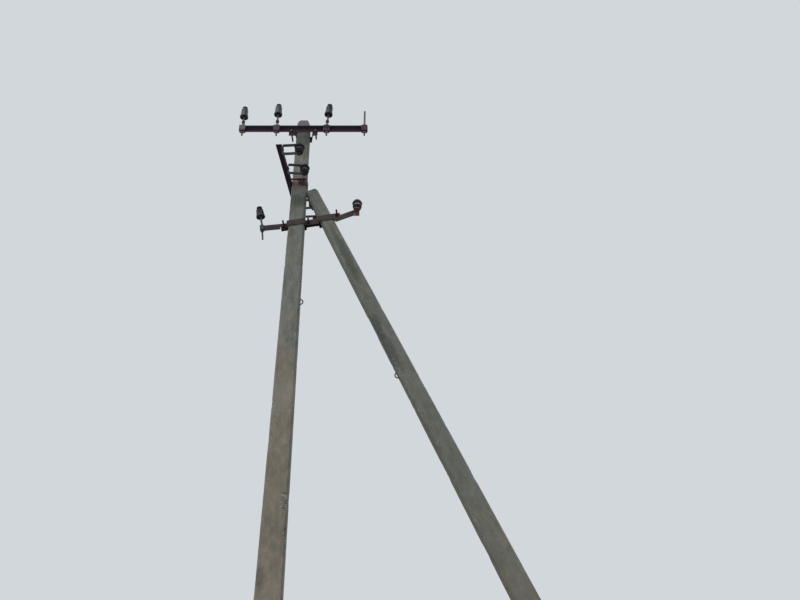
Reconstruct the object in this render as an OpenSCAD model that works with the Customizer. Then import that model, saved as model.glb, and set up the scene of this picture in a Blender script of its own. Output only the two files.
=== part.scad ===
// Concrete line pole with a leaning concrete strut, a steel crossarm, a branch arm
// and a strut bracket, with their pins, bent irons, clamps and insulators.
// +X runs along the crossarm towards the strut, +Y along the main line, +Z up.
// The origin is the centre of the main pole's foot, at ground level.

/* [Posts] */
// Height of the main pole above the ground
pole_h = 7500; // [6800:50:9000]
// Width of the main pole's broad face at its top
pole_top_w = 136; // [120:1:165]
// Width of the main pole's broad face at the ground
pole_foot_w = 257; // [220:1:290]
// Thickness of both posts, front to back
post_t = 110; // [95:1:130]
// Bevel along the long edges of both posts
post_bevel = 12; // [5:1:18]
// Width and height of the piece broken off the pole's top at the left
chip_left = [36, 28]; // [20:1:60]
// Width and height of the piece broken off the pole's top at the right
chip_right = [26, 60]; // [10:1:70]

/* [Strut] */
// Drop from the pole's top to the middle of the strut's top end
strut_drop = 965; // [850:5:1080]
// Lean of the strut from the vertical, in degrees
strut_lean = 24.95; // [22:0.05:28]
// Width of the strut's broad face at its top
strut_top_w = 118; // [100:1:135]
// Width of the strut's broad face at the ground, square to its length
strut_foot_w = 244; // [210:1:280]
// Bevel across the strut's top end, at its outer corner
strut_end_bevel = 24; // [8:1:40]

/* [Lifting loops] */
// Diameter of the loops' round bar
loop_bar_d = 11; // [8:1:14]
// Radius of a loop's bend, to the middle of the bar
loop_r = 26; // [20:1:34]
// Depth of the loops' legs in the concrete
loop_root = 45; // [30:1:60]
// Drop from the pole's top to its loop
pole_loop_drop = 2273; // [2000:5:2600]
// Distance from the strut's top to its loop, along the strut
strut_loop_drop = 2245; // [2000:5:2600]

/* [Crossarm] */
// Length of the crossarm
arm_len = 1384; // [1200:2:1700]
// Distance of the crossarm's middle to the right of the pole's middle
arm_shift = 6; // [-30:1:30]
// Leg of the crossarm's angle section
arm_leg = 50; // [45:1:60]
// Thickness of the crossarm's angle section
arm_t = 6; // [5:0.5:8]
// Drop from the pole's top to the crossarm's top
arm_drop = 122; // [100:1:180]
// Root fillet of the angle sections
root_r = 6; // [3:0.5:7]
// Distance of the outer pins from the crossarm's ends
pin_inset = 34; // [33:1:60]
// Distances of the inner pins from the crossarm's middle
inner_pin_x = [-289, 250]; // [-400:1:400]

/* [Pins] */
// Diameter of a pin's shank
pin_d = 20; // [16:1:22]
// Diameter of a pin's threaded tail
pin_tail_d = 16; // [12:1:18]
// Heights of the pins above what they stand on, from left to right
pin_rise = [187, 225, 225, 225]; // [170:1:260]
// Leans of the pins to the right, above their bases, in degrees
pin_lean = [0, 0, 4.5, 0]; // [-6:0.5:6]
// Diameter of a pin's flared base
pin_base_d = 38; // [30:1:44]
// Height of a pin's flared base
pin_base_h = 46; // [30:1:60]
// Diameter of the collar round a pin's shank
pin_collar_d = 36; // [30:1:40]
// Heights of the collars' undersides over the pins' seats
pin_collar_z = [52, 62, 62]; // [48:1:80]
// Thickness of that collar
pin_collar_h = 22; // [10:1:26]
// Length of tail that a pin shows under its nut
pin_tail = 40; // [20:1:60]

/* [Pin saddles] */
// Width of the saddle plates that hold the pins
saddle_w = 66; // [56:1:76]
// Thickness of the saddle plates
saddle_t = 5; // [4:0.5:7]
// Depth of the gap between the crossarm and a saddle's lower leg
saddle_gap = 12; // [6:1:20]

/* [Pin insulators] */
// Height of a pin insulator on the crossarm
cup_h = 150; // [135:1:170]
// Diameter of its skirt
cup_skirt_d = 91; // [80:1:100]
// Diameter of its body under the neck
cup_body_d = 72; // [62:1:78]
// Diameter of its head
cup_head_d = 58; // [50:1:66]
// Distance of its neck's groove under its top
cup_neck = 31; // [27:1:36]
// Depth of the pin's socket in it
cup_socket = 54; // [45:1:70]

/* [Branch arm] */
// Length of the branch arm
branch_len = 1240; // [1210:10:1400]
// Leg of the branch arm's angle section
branch_leg = 60; // [56:1:70]
// Drop from the pole's top to the branch arm's top
branch_drop = 830; // [760:5:900]
// Distance of the branch arm's middle behind the pole's middle
branch_shift = 30; // [0:1:60]
// Turn of the branch arm in plan, in degrees
branch_turn = 4; // [0:0.1:6]
// Distances of the outer spools from the branch arm's near and far end
outer_spool_inset = [49, 34]; // [20:1:70]
// Distances of the inner spools from the branch arm's middle, to the near and the far side
inner_spool_y = [289, 296]; // [250:1:330]

/* [Shackle irons] */
// Width of the irons that hold the spools
iron_w = 34; // [30:1:50]
// Thickness of those irons
iron_t = 6; // [5:0.5:8]
// Bend radius of those irons, outside
iron_r = 13; // [9:0.5:16]
// Distance from the branch arm to the spools' axis
iron_reach = 168; // [120:1:190]
// Swings of the irons about the vertical, away from square to the arm, in degrees
iron_swing = [0, 9, 0, 0]; // [-12:1:12]

/* [Spools] */
// Height of a spool insulator
spool_h = 100; // [80:1:110]
// Diameter of its upper rim
spool_d = 102; // [92:1:115]
// Diameter of its lower rim
spool_low_d = 93; // [88:1:110]
// Diameter of its end faces
spool_end_d = 64; // [56:1:70]
// Diameter of its waist
spool_waist_d = 58; // [50:1:66]
// Height of each rim's edge over the nearer end face
spool_rim_z = 30; // [20:1:32]

/* [Clamps] */
// Diameter of the clamp bolts
bolt_d = 16; // [12:1:18]
// Thickness of the clamp straps
strap_t = 6; // [5:0.5:8]
// Radius of the clamp straps' bends, at mid-thickness
strap_bend = 9; // [6:0.5:12]
// Height of the crossarm's clamp strap
top_strap_h = 80; // [70:1:90]
// Places of the crossarm's clamp bolts, from the pole's middle
top_bolt_x = [-128, 133]; // [-150:1:160]
// Gaps between that strap and the pole's right side, at the back and at the front
top_strap_gap = [12, 34]; // [0:1:40]
// Lengths of thread that the crossarm's clamp bolts show behind, at the left and at the right
top_thread = [143, 105]; // [40:1:160]
// Height of the branch arm's clamp strap
branch_strap_h = 94; // [80:1:110]
// Drop of the branch arm's clamp bolts under the arm's top
branch_bolt_drop = 28; // [24:1:34]
// Distance of those bolts from the pole's front and back
branch_bolt_gap = 38; // [24:1:44]
// Distance from the pole's middle to the ears of that strap
branch_ear_x = 36; // [30:1:50]
// Width of the packer under the branch arm's front clamp bolt
packer_w = 42; // [30:1:50]
// Height of that packer
packer_h = 54; // [45:1:90]

/* [Strut bracket] */
// Drop from the pole's top to the bracket's middle line, at the pole
bracket_drop = 1378; // [1300:1:1480]
// Tilt of the bracket, rising towards the strut, in degrees
bracket_tilt = 10.6; // [9:0.1:13]
// Width of the bracket's straps
flat_w = 62; // [54:1:68]
// Thickness of the bracket's straps
flat_t = 8; // [6:0.5:9]
// Reach of the bracket to the left of the pole's middle
bracket_left = 160; // [152:1:190]
// Reach of the bracket to the right of the pole's middle
bracket_right = 446; // [440:1:470]
// Distance of the straps' ears beside the pole from the posts' mid-plane
ear_y = 18; // [15:1:26]
// Places of the bracket's bolts along it
bracket_bolt_x = [-128, 122, 412]; // [-140:1:420]
// Length of thread that the bracket's bolts show at the front
bracket_thread = 69; // [20:1:80]

/* [Left arm] */
// Length of the left arm, from the left bracket bolt to its end
left_len = 236; // [225:1:270]
// Tilt of the left arm, in degrees
left_tilt = 6.8; // [4:0.1:10]
// Leg of the left arm's angle section
left_leg = 39; // [38:1:42]
// Thickness of the left arm's angle section
left_t = 4.5; // [4:0.5:5]
// Height of its top edge over the left bracket bolt
left_rise = 27; // [24:0.5:27]

/* [Lower pin] */
// Distance of the lower pin from the left arm's end
lower_pin_inset = 17; // [15:1:30]
// Width of the saddle that holds the lower pin
lower_seat_w = 40; // [34:1:50]
// Height of the lower pin over its saddle
lower_pin_rise = 172; // [140:1:190]
// Height of the lower pin's flared base
lower_pin_base_h = 30; // [20:1:36]
// Lean of the lower pin's shank, to the right, in degrees
lower_pin_lean = -5; // [-8:0.5:8]
// Length of tail that the lower pin shows under its nut
lower_pin_tail = 94; // [40:1:110]
// Height of the lower pin's insulator
lower_cup_h = 130; // [125:1:160]

/* [Extension] */
// Length of the extension, from the right bracket bolt to its end
ext_len = 214; // [200:1:230]
// Tilt of the extension, in degrees
ext_tilt = 24; // [18:0.5:30]
// Width of the extension's bar
ext_w = 60; // [50:1:64]
// Distance of the bar's middle line under the right bracket bolt
ext_drop = 40; // [30:1:46]
// Width of the cleat at the extension's end
cleat_w = 56; // [50:1:62]
// Height of the cleat
cleat_h = 52; // [46:1:70]
// Distance of the cleat's middle from the extension's end
cleat_inset = 15; // [8:1:28]
// Drop of the cleat's shelf under the middle line of the extension
cleat_drop = 3; // [0:1:12]
// Distance of the last spool's bolt from the cleat's middle, to the right
end_spool_shift = 6; // [0:1:10]
// Depth of the cleat's shelf, front to back
cleat_depth = 76; // [66:1:84]
// Length of thread that the last spool's bolt shows under the cleat
end_thread = 38; // [12:1:44]

/* [Hidden] */

// Running clearance between pieces that are seated on each other
seat = 0.3;
// Clearance of a bolt in its hole, on the diameter
hole_clear = 2;
// Facets of a full circle
$fn = 48;

// Half the width of the main pole's broad face at a height
function pole_half(z) = (pole_foot_w + (pole_top_w - pole_foot_w)*z/pole_h)/2;
// Half the width of the strut's broad face at a distance from its top
function strut_half(s) = (strut_top_w + (strut_foot_w - strut_top_w)*s/strut_run)/2;
// Points of an arc from one angle to another
function arc(c, r, a, b, n) = [for (i = [0:n]) let (q = a + (b - a)*i/n) [c[0] + r*cos(q), c[1] + r*sin(q)]];

face_y = post_t/2;
// Sizes of nuts, heads and washers against their thread's diameter
nut_wide = 1.85;
nut_high = 0.8;
head_high = 0.62;
washer_wide = 2.1;
washer_t = 3;

strut_top_z = pole_h - strut_drop;
strut_run = strut_top_z/cos(strut_lean);
strut_corner_z = strut_top_z - strut_half(0)*sin(strut_lean);
strut_top_x = pole_half(strut_corner_z) + seat + strut_half(0)*cos(strut_lean);
strut_len = strut_run + strut_foot_w*tan(strut_lean);

arm_top_z = pole_h - arm_drop;
arm_mid_y = -face_y - arm_leg/2;
outer_pin_x = arm_len/2 - pin_inset;
pin_x = [for (x = [-outer_pin_x, inner_pin_x[0], inner_pin_x[1], outer_pin_x]) arm_shift + x];
top_bolt_z = arm_top_z - arm_leg*0.66;
top_strap_z = top_bolt_z - top_strap_h + 16;

branch_top_z = pole_h - branch_drop;
branch_bolt_z = branch_top_z - branch_bolt_drop;
branch_face_x = pole_half(branch_top_z - branch_leg) + seat + (face_y - post_bevel)*tan(branch_turn);
branch_bolt_y = face_y + branch_bolt_gap;
branch_strap_x = pole_half(branch_bolt_z - branch_strap_h/2) + seat + strap_t/2;

iron_h = spool_h + 2*iron_t + 2*seat;
spool_y = [outer_spool_inset[0] - branch_len/2, -inner_spool_y[0], inner_spool_y[1],
           branch_len/2 - outer_spool_inset[1]];

bracket_z = pole_h - bracket_drop;
strap_y = face_y + flat_t/2;
ear_face = ear_y + flat_t/2;
pole_side = (pole_half(bracket_z - flat_w) + flat_w/2*sin(bracket_tilt))/cos(bracket_tilt) + seat + flat_t/2;
// The strut seen in the bracket's frame: its lean there, and the place of its top end's middle
cross_lean = strut_lean - bracket_tilt;
strut_top_u = strut_top_x*cos(bracket_tilt) + (strut_top_z - bracket_z)*sin(bracket_tilt);
strut_top_v = (strut_top_z - bracket_z)*cos(bracket_tilt) - strut_top_x*sin(bracket_tilt);
// Place along the bracket of the strut's left (-1) or right (1) side, at a height over the bracket's middle line
function strut_side(side, up) =
    let (h = strut_half((strut_top_v - up)/cos(cross_lean)),
         s = (strut_top_v + side*h*sin(cross_lean) - up)/cos(cross_lean))
    strut_top_u + side*h*cos(cross_lean) + s*sin(cross_lean);
strut_in = strut_side(-1, flat_w/2) - seat - flat_t/2;
strut_out = strut_side(1, -flat_w/2) + seat + flat_t/2;

lower_pin_x = lower_pin_inset - left_len;
lower_pin_y = left_leg/2;
lower_seat_depth = 19;
ext_root = 43;
ext_ear = 20;
cleat_t = 6;
cleat_y = -face_y - 2*flat_t;
cleat_reach = ext_len - cleat_inset;
cleat_x = bracket_bolt_x[2]*cos(bracket_tilt) + cleat_reach*cos(ext_tilt) + ext_drop*sin(ext_tilt);
cleat_z = bracket_z + bracket_bolt_x[2]*sin(bracket_tilt) + cleat_reach*sin(ext_tilt) - ext_drop*cos(ext_tilt)
          - cleat_drop;
end_spool_x = cleat_x + end_spool_shift;
end_spool_y = cleat_y - cleat_depth + 34;

// Outline of a post's section, a rectangle with its corners bevelled, from its width
function post_ring(w) = [for (k = [[1, -1, 0], [1, -1, 1], [1, 1, 1], [1, 1, 0],
                                   [-1, 1, 0], [-1, 1, 1], [-1, -1, 1], [-1, -1, 0]])
    [k[0]*(w/2 - (k[2] == 0 ? post_bevel : 0)), k[1]*(face_y - (k[2] == 0 ? 0 : post_bevel))]];

// Tapered post with bevelled edges, standing on z = 0
module tapered_post(length, top_w, foot_w) {
    n = len(post_ring(top_w));
    polyhedron(
        points = concat([for (p = post_ring(foot_w)) [p[0], p[1], 0]],
                        [for (p = post_ring(top_w)) [p[0], p[1], length]]),
        faces = concat([[for (i = [0:n - 1]) i], [for (i = [0:n - 1]) 2*n - 1 - i]],
                       [for (i = [0:n - 1]) [(i + 1)%n, i, n + i, n + (i + 1)%n]]));
}

// Round bar bent to a half ring, with straight legs into the concrete; it bulges towards +X
module half_loop(bar_d) {
    rotate([90, 0, 0])
        rotate([0, 0, -90])
            rotate_extrude(angle = 180)
                translate([loop_r, 0])
                    circle(d = bar_d);
    for (s = [-1, 1])
        translate([0, 0, s*loop_r])
            rotate([0, -90, 0])
                cylinder(d = bar_d, h = loop_root);
}

// Holes that the legs of a loop are cast in
module loop_sockets() {
    for (s = [-1, 1])
        translate([0, 0, s*loop_r])
            rotate([0, -90, 0])
                translate([0, 0, -loop_r])
                    cylinder(d = loop_bar_d + 2*seat, h = loop_root + loop_r + seat);
}

// Places the pole's loop on its right face
module on_pole_side() {
    z = pole_h - pole_loop_drop;
    translate([pole_half(z), 0, z])
        children();
}

// Places the strut's loop on its lower face
module on_strut_side() {
    strut_frame()
        translate([-strut_half(strut_loop_drop), 0, -strut_loop_drop])
            mirror([1, 0, 0])
                children();
}

// Frame whose origin is the middle of the strut's top end, +Z along the strut
module strut_frame() {
    translate([strut_top_x, 0, strut_top_z])
        rotate([0, -strut_lean, 0])
            children();
}

// Angle section with its outer corner at the origin and its legs along +X and +Y
module angle_section(leg, t) {
    difference() {
        square(leg);
        translate([t, t])
            square(leg);
    }
    translate([t, t])
        difference() {
            square(root_r);
            translate([root_r, root_r])
                circle(root_r);
        }
}

// Angle bar along X, its corner at the top and rear, legs to the front and down
module angle_along_x(length, leg, t) {
    rotate([90, 0, 90])
        translate([0, 0, -length/2])
            linear_extrude(length)
                rotate(180)
                    angle_section(leg, t);
}

// Angle bar along Y, its corner at the top and right, legs to the left and down
module angle_along_y(length, leg, t) {
    rotate([90, 0, 0])
        translate([0, 0, -length/2])
            linear_extrude(length)
                rotate(180)
                    angle_section(leg, t);
}

// Points of one bend of a strip: an arc of the given radius that rounds the corner b of the line a, b, c,
// each with the direction that points to the strip's left side
function bend(a, b, c, r) =
    let (u = (b - a)/norm(b - a), v = (c - b)/norm(c - b),
         side = sign(u[0]*v[1] - u[1]*v[0]),
         turn = acos(u*v),
         start = b - u*r*tan(turn/2),
         mid = start + side*r*[-u[1], u[0]],
         from = atan2(start[1] - mid[1], start[0] - mid[0]))
    [for (i = [0:4]) let (q = from + side*turn*i/4, d = [cos(q), sin(q)]) [mid + r*d, -side*d]];

// Flat strip bent along a line of points, seen in plan; r is the bends' radius at mid-thickness
module bent_strip(points, t, h, r) {
    n = len(points);
    first = points[1] - points[0];
    last = points[n - 1] - points[n - 2];
    line = concat([[points[0], [-first[1], first[0]]/norm(first)]],
                  [for (i = [1:n - 2]) each bend(points[i - 1], points[i], points[i + 1], r)],
                  [[points[n - 1], [-last[1], last[0]]/norm(last)]]);
    m = len(line);
    linear_extrude(h)
        polygon(concat([for (k = line) k[0] - k[1]*t/2],
                       [for (i = [m - 1:-1:0]) line[i][0] + line[i][1]*t/2]));
}

// Hexagon nut on a washer, standing on z = 0
module nut_on_washer(d) {
    cylinder(d = d*washer_wide, h = washer_t);
    translate([0, 0, washer_t])
        cylinder(d = d*nut_wide, h = d*nut_high, $fn = 6);
}

// Bolt along +Z with its head under z = 0, a nut at the grip's far end and a tail
module grip_bolt(d, grip, tail) {
    translate([0, 0, -d*head_high])
        cylinder(d = d*nut_wide, h = d*head_high, $fn = 6);
    cylinder(d = d, h = grip + washer_t + d*nut_high + tail);
    translate([0, 0, grip])
        nut_on_washer(d);
}

module main_pole() {
    color([0.47, 0.46, 0.41])
        difference() {
            tapered_post(pole_h, pole_top_w, 2*pole_half(0));
            rotate([90, 0, 0])
                translate([0, 0, -post_t])
                    linear_extrude(2*post_t) {
                        broken_corner(-1, chip_left);
                        broken_corner(1, chip_right);
                    }
            on_pole_side()
                loop_sockets();
        }
}

// Outline of the piece broken off one top corner of the pole
module broken_corner(side, chip) {
    x = side*pole_half(pole_h);
    polygon([[x - side*chip[0], pole_h], [x - side*chip[0], pole_h + chip[1]],
             [x + side*chip[1], pole_h + chip[1]], [x + side*chip[1], pole_h - chip[1]],
             [x, pole_h - chip[1]]]);
}

module strut_post() {
    color([0.45, 0.45, 0.40])
        difference() {
            strut_frame()
                translate([0, 0, -strut_len])
                    tapered_post(strut_len, strut_top_w, 2*strut_half(strut_len));
            strut_frame()
                rotate([90, 0, 0])
                    translate([0, 0, -post_t])
                        linear_extrude(2*post_t)
                            polygon([[strut_half(0) - strut_end_bevel, 0], [strut_half(0) - strut_end_bevel, post_t],
                                     [strut_half(0) + post_t, post_t], [strut_half(0) + post_t, -strut_end_bevel],
                                     [strut_half(0), -strut_end_bevel]]);
            on_strut_side()
                loop_sockets();
            translate([-pole_h, -pole_h, -pole_h])
                cube([3*pole_h, 2*pole_h, pole_h]);
        }
}

module pole_lifting_loop() {
    color([0.33, 0.24, 0.20])
        on_pole_side()
            half_loop(loop_bar_d);
}

module strut_lifting_loop() {
    color([0.33, 0.24, 0.20])
        on_strut_side()
            half_loop(loop_bar_d);
}

// Frame of the crossarm: its top and rear corner line through the origin
module arm_frame() {
    translate([arm_shift, -face_y, arm_top_z])
        children();
}

module top_crossarm() {
    color([0.24, 0.15, 0.17])
        difference() {
            arm_frame()
                angle_along_x(arm_len, arm_leg, arm_t);
            for (x = pin_x)
                translate([x, arm_mid_y, arm_top_z - 2*arm_t])
                    cylinder(d = pin_tail_d + hole_clear, h = 3*arm_t);
            for (x = top_bolt_x)
                translate([x, -face_y - 2*arm_t, top_bolt_z])
                    rotate([-90, 0, 0])
                        cylinder(d = bolt_d + hole_clear, h = 3*arm_t);
        }
}

// Strap that goes round the back of the pole, with ears behind the crossarm
module top_clamp_strap() {
    front = -face_y + strap_t/2 + seat;
    back = face_y + strap_t/2 + seat;
    side = pole_half(top_strap_z) + strap_t/2 + seat;
    ear = 24;
    color([0.22, 0.15, 0.15])
        difference() {
            translate([0, 0, top_strap_z])
                bent_strip([[top_bolt_x[0] - ear, front], [-side - strap_t/2, front], [-side, back],
                            [side + top_strap_gap[0], back], [side + top_strap_gap[1], front],
                            [top_bolt_x[1] + ear, front]],
                           strap_t, top_strap_h, strap_bend);
            for (x = top_bolt_x)
                translate([x, -face_y - 1, top_bolt_z])
                    rotate([-90, 0, 0])
                        cylinder(d = bolt_d + hole_clear, h = 2*strap_t + 2);
        }
}

module top_clamp_bolts() {
    color([0.18, 0.15, 0.16])
        for (i = [0, 1])
            translate([top_bolt_x[i], -face_y - arm_t, top_bolt_z])
                rotate([-90, 0, 0])
                    grip_bolt(bolt_d, arm_t + strap_t + 2*seat, top_thread[i]);
}

// Insulator pin standing on z = 0: its tail goes through a seat of the given depth, and its shank
// leans from its base on. A collar at height 0 is left out.
module insulator_pin(rise, base_h, depth, tail, collar_z, lean) {
    rotate_extrude()
        polygon([[0, -depth - tail], [pin_tail_d/2 - 2, -depth - tail], [pin_tail_d/2, -depth - tail + 2],
                 [pin_tail_d/2, 0], [pin_base_d/2, 0], [pin_base_d/2, 5], [pin_d/2 + 1, base_h], [0, base_h]]);
    leaning(lean, base_h) {
        rotate_extrude()
            polygon([[0, base_h/2], [pin_d/2, base_h/2], [pin_d/2, rise - 3], [pin_d/2 - 3, rise], [0, rise]]);
        if (collar_z > 0)
            translate([0, 0, collar_z])
                cylinder(d = pin_collar_d, h = pin_collar_h);
    }
    translate([0, 0, -depth])
        mirror([0, 0, 1])
            nut_on_washer(pin_tail_d);
}

// Leans what stands on a pin's base about the middle of that base
module leaning(lean, base_h) {
    translate([0, 0, base_h/2])
        rotate([0, lean, 0])
            translate([0, 0, -base_h/2])
                children();
}

// Places a piece on the crossarm's pin line
module at_arm_pin(i) {
    translate([pin_x[i], arm_mid_y, arm_top_z])
        children();
}

saddle_drop = arm_leg + saddle_gap;
pin_depth = saddle_drop + saddle_t;

module arm_pin(i) {
    color(i == 3 ? [0.55, 0.56, 0.57] : [0.42, 0.42, 0.42])
        at_arm_pin(i)
            translate([0, 0, saddle_t + seat])
                insulator_pin(pin_rise[i], pin_base_h, pin_depth + saddle_t + 2*seat,
                              pin_tail + washer_t + pin_tail_d*nut_high, i < 3 ? pin_collar_z[i] : 0, pin_lean[i]);
}

// Plate bent over the crossarm's front, which holds a pin above and below the arm
module pin_saddle(i) {
    back_y = -arm_leg/2 - saddle_t;
    front_y = -arm_leg/2 - seat - saddle_t;
    height = pin_depth + saddle_t + seat;
    color(i == 3 ? [0.40, 0.24, 0.27] : [0.38, 0.34, 0.33])
        at_arm_pin(i)
            difference() {
                translate([-saddle_w/2, front_y, -pin_depth])
                    difference() {
                        cube([saddle_w, arm_leg + saddle_t, height]);
                        translate([-1, saddle_t, saddle_t])
                            cube([saddle_w + 2, arm_leg + saddle_t, pin_depth - saddle_t + seat]);
                    }
                saddle_corners(front_y, height);
                translate([0, 0, -pin_depth - 1])
                    cylinder(d = pin_tail_d + hole_clear, h = 2*pin_depth);
            }
}

// Blocks that round off the free end of a saddle's legs
module saddle_corners(front_y, height) {
    r = saddle_w/2;
    translate([0, 0, -2*pin_depth])
        linear_extrude(4*pin_depth)
            difference() {
                translate([-saddle_w, 0])
                    square([2*saddle_w, saddle_w]);
                circle(r);
            }
}

// Pin insulator of a given height, with its skirt's rim on z = 0
module cup_insulator(h) {
    skirt = cup_skirt_d/2;
    body = cup_body_d/2;
    head = cup_head_d/2;
    wall = 9;
    neck_z = h - cup_neck;
    neck_r = 8;
    neck_turn = 50;
    rotate_extrude()
        difference() {
            polygon(concat(
                [[0, 0], [skirt - 4, 0]],
                arc([skirt - 4, 4], 4, -90, 0, 4),
                [[skirt - 1, 14], [skirt - 4, 26], [body + 3, 44], [body + 1, 60], [body, neck_z - 16]],
                arc([body - 5, neck_z - 13], 5, 0, 60, 3),
                arc([head + 2, neck_z], neck_r, neck_turn - 180, -180 - neck_turn, 6),
                arc([head - 8, h - 12], 8, -20, 60, 5),
                [[head - 16, h], [0, h]]));
            polygon(concat(
                [[0, -1], [skirt - wall, -1], [skirt - wall, 4]],
                arc([skirt - wall - 14, 14], 12, 0, 70, 4),
                [[pin_d/2 + 7, 30], [pin_d/2 + 7, 6], [pin_d/2 + seat, 6],
                 [pin_d/2 + seat, cup_socket + seat], [0, cup_socket + seat]]));
        }
}

module pin_insulator(i) {
    color([0.20, 0.19, 0.20])
        at_arm_pin(i)
            translate([0, 0, saddle_t + seat])
                leaning(pin_lean[i], pin_base_h)
                    translate([0, 0, pin_rise[i] - cup_socket])
                        cup_insulator(cup_h);
}

// Frame of the branch arm: its top and right corner line through the origin
module branch_frame() {
    translate([-branch_face_x, 0, branch_top_z])
        rotate([0, 0, -branch_turn])
            translate([0, branch_shift, 0])
                children();
}

// Where the branch arm's inner face lies at a clamp bolt
function branch_face_at(y) = -branch_face_x + y*tan(branch_turn);

module branch_arm() {
    color([0.22, 0.14, 0.16])
        difference() {
            branch_frame()
                angle_along_y(branch_len, branch_leg, arm_t);
            for (s = [-1, 1])
                translate([branch_face_at(s*branch_bolt_y) - 2*arm_t, s*branch_bolt_y, branch_bolt_z])
                    rotate([0, 90, 0])
                        cylinder(d = bolt_d + hole_clear, h = 3*arm_t);
        }
}

// Strap round the pole's right side, with ears that stand off its front and back
module branch_clamp_strap() {
    wrap = face_y + strap_t/2 + seat;
    ear = branch_bolt_y + 24;
    color([0.30, 0.17, 0.17])
        difference() {
            translate([0, 0, branch_bolt_z - branch_strap_h/2])
                bent_strip([[branch_ear_x, -ear], [branch_ear_x, -wrap], [branch_strap_x, -wrap],
                            [branch_strap_x, wrap], [branch_ear_x, wrap], [branch_ear_x, ear]],
                           strap_t, branch_strap_h, strap_bend);
            for (s = [-1, 1])
                translate([branch_ear_x - strap_t, s*branch_bolt_y, branch_bolt_z])
                    rotate([0, 90, 0])
                        cylinder(d = bolt_d + hole_clear, h = 2*strap_t);
        }
}

module branch_clamp_bolts() {
    color([0.18, 0.15, 0.16])
        for (s = [-1, 1]) {
            start = branch_face_at(s*branch_bolt_y) - arm_t - bolt_d*nut_wide/2*tan(branch_turn);
            translate([start, s*branch_bolt_y, branch_bolt_z])
                rotate([0, 90, 0])
                    grip_bolt(bolt_d, branch_ear_x + strap_t/2 + seat - start, 14);
        }
}

module branch_clamp_packer() {
    depth = branch_bolt_y - bolt_d/2 - face_y - 2*seat;
    color([0.27, 0.16, 0.12])
        translate([branch_ear_x - strap_t/2 - seat - packer_w, -face_y - seat - depth, branch_bolt_z - packer_h/2])
            cube([packer_w, depth, packer_h]);
}

// Places a piece in a shackle iron's frame: +X along its legs, its base on the branch arm's face
module at_spool(i) {
    branch_frame()
        translate([iron_w/2*abs(sin(iron_swing[i])), spool_y[i], -branch_leg/2])
            rotate([0, 0, iron_swing[i]])
                children();
}

// Outline of a bent plate's outside, with both corners rounded at its closed end
module bend_block(length, height, r) {
    translate([r, -height/2])
        square([length - r, height]);
    translate([0, -height/2 + r])
        square([r, height - 2*r]);
    for (s = [-1, 1])
        translate([r, s*(height/2 - r)])
            circle(r);
}

// Iron bent to a U, its base on the arm and its legs above and below the spool
module shackle_iron(i) {
    reach = iron_reach + iron_w/2;
    color([0.20, 0.14, 0.15])
        at_spool(i)
            difference() {
                intersection() {
                    rotate([90, 0, 0])
                        translate([0, 0, -iron_w/2])
                            linear_extrude(iron_w)
                                difference() {
                                    bend_block(reach, iron_h, iron_r);
                                    translate([iron_t, 0])
                                        bend_block(reach, iron_h - 2*iron_t, iron_r - iron_t);
                                }
                    translate([0, 0, -iron_h])
                        linear_extrude(2*iron_h) {
                            translate([0, -iron_w/2])
                                square([iron_reach, iron_w]);
                            translate([iron_reach, 0])
                                circle(d = iron_w);
                        }
                }
                translate([iron_reach, 0, -iron_h])
                    cylinder(d = bolt_d + hole_clear, h = 2*iron_h);
            }
}

// Outline of a spool's lower half, from its end face to its waist, with the given radius of its rim
function half_spool(rim) =
    let (end = spool_end_d/2, half = spool_h/2, groove = half - spool_rim_z - 5)
    concat([[end, 0], [end + 6, 3]], arc([rim - 5, spool_rim_z], 5, -50, 60, 6),
           arc([spool_waist_d/2 + groove, half], groove, -100, -180, 7));

// Spool insulator standing on z = 0
module spool_insulator() {
    lower = half_spool(spool_low_d/2);
    upper = half_spool(spool_d/2);
    rotate_extrude()
        polygon(concat([[bolt_d/2 + 1, 0]], lower,
                       [for (i = [len(upper) - 2:-1:0]) [upper[i][0], spool_h - upper[i][1]]],
                       [[bolt_d/2 + 1, spool_h]]));
}

module spool(i) {
    color([0.16, 0.14, 0.15])
        at_spool(i)
            translate([iron_reach, 0, -spool_h/2])
                spool_insulator();
}

module spool_bolt(i) {
    color([0.18, 0.15, 0.16])
        at_spool(i)
            translate([iron_reach, 0, iron_h/2])
                mirror([0, 0, 1])
                    grip_bolt(bolt_d, iron_h, 12);
}

// Frame of the strut bracket: +X along it, its bolts on z = 0
module bracket_frame() {
    translate([0, 0, bracket_z])
        rotate([0, -bracket_tilt, 0])
            children();
}

// Strap of the bracket along a line of points, seen in the bracket's plan, with its bolt holes
module bracket_strap(points) {
    bracket_frame()
        difference() {
            translate([0, 0, -flat_w/2])
                bent_strip(points, flat_t, flat_w, strap_bend);
            for (x = bracket_bolt_x)
                translate([x, 0, 0])
                    rotate([90, 0, 0])
                        cylinder(d = bolt_d + hole_clear, h = 4*post_t, center = true);
        }
}

// Front strap: an ear beside the pole, the pole's front, a recess between the posts, the strut's front
module bracket_front_bar() {
    color([0.30, 0.20, 0.21])
        bracket_strap([[-bracket_left, -ear_y], [-pole_side, -ear_y], [-pole_side, -strap_y],
                       [pole_side, -strap_y], [pole_side, -ear_y], [strut_in, -ear_y],
                       [strut_in, -strap_y], [bracket_right, -strap_y]]);
}

// Rear strap: it follows the posts' backs and comes forward round the strut to the front strap
module bracket_rear_bar() {
    last = strap_y - flat_t;
    color([0.24, 0.16, 0.17])
        bracket_strap([[-bracket_left, ear_y], [-pole_side, ear_y], [-pole_side, strap_y],
                       [pole_side, strap_y], [pole_side, ear_y], [strut_in, ear_y],
                       [strut_in, strap_y], [strut_out, strap_y], [strut_out, -last], [bracket_right, -last]]);
}

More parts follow.
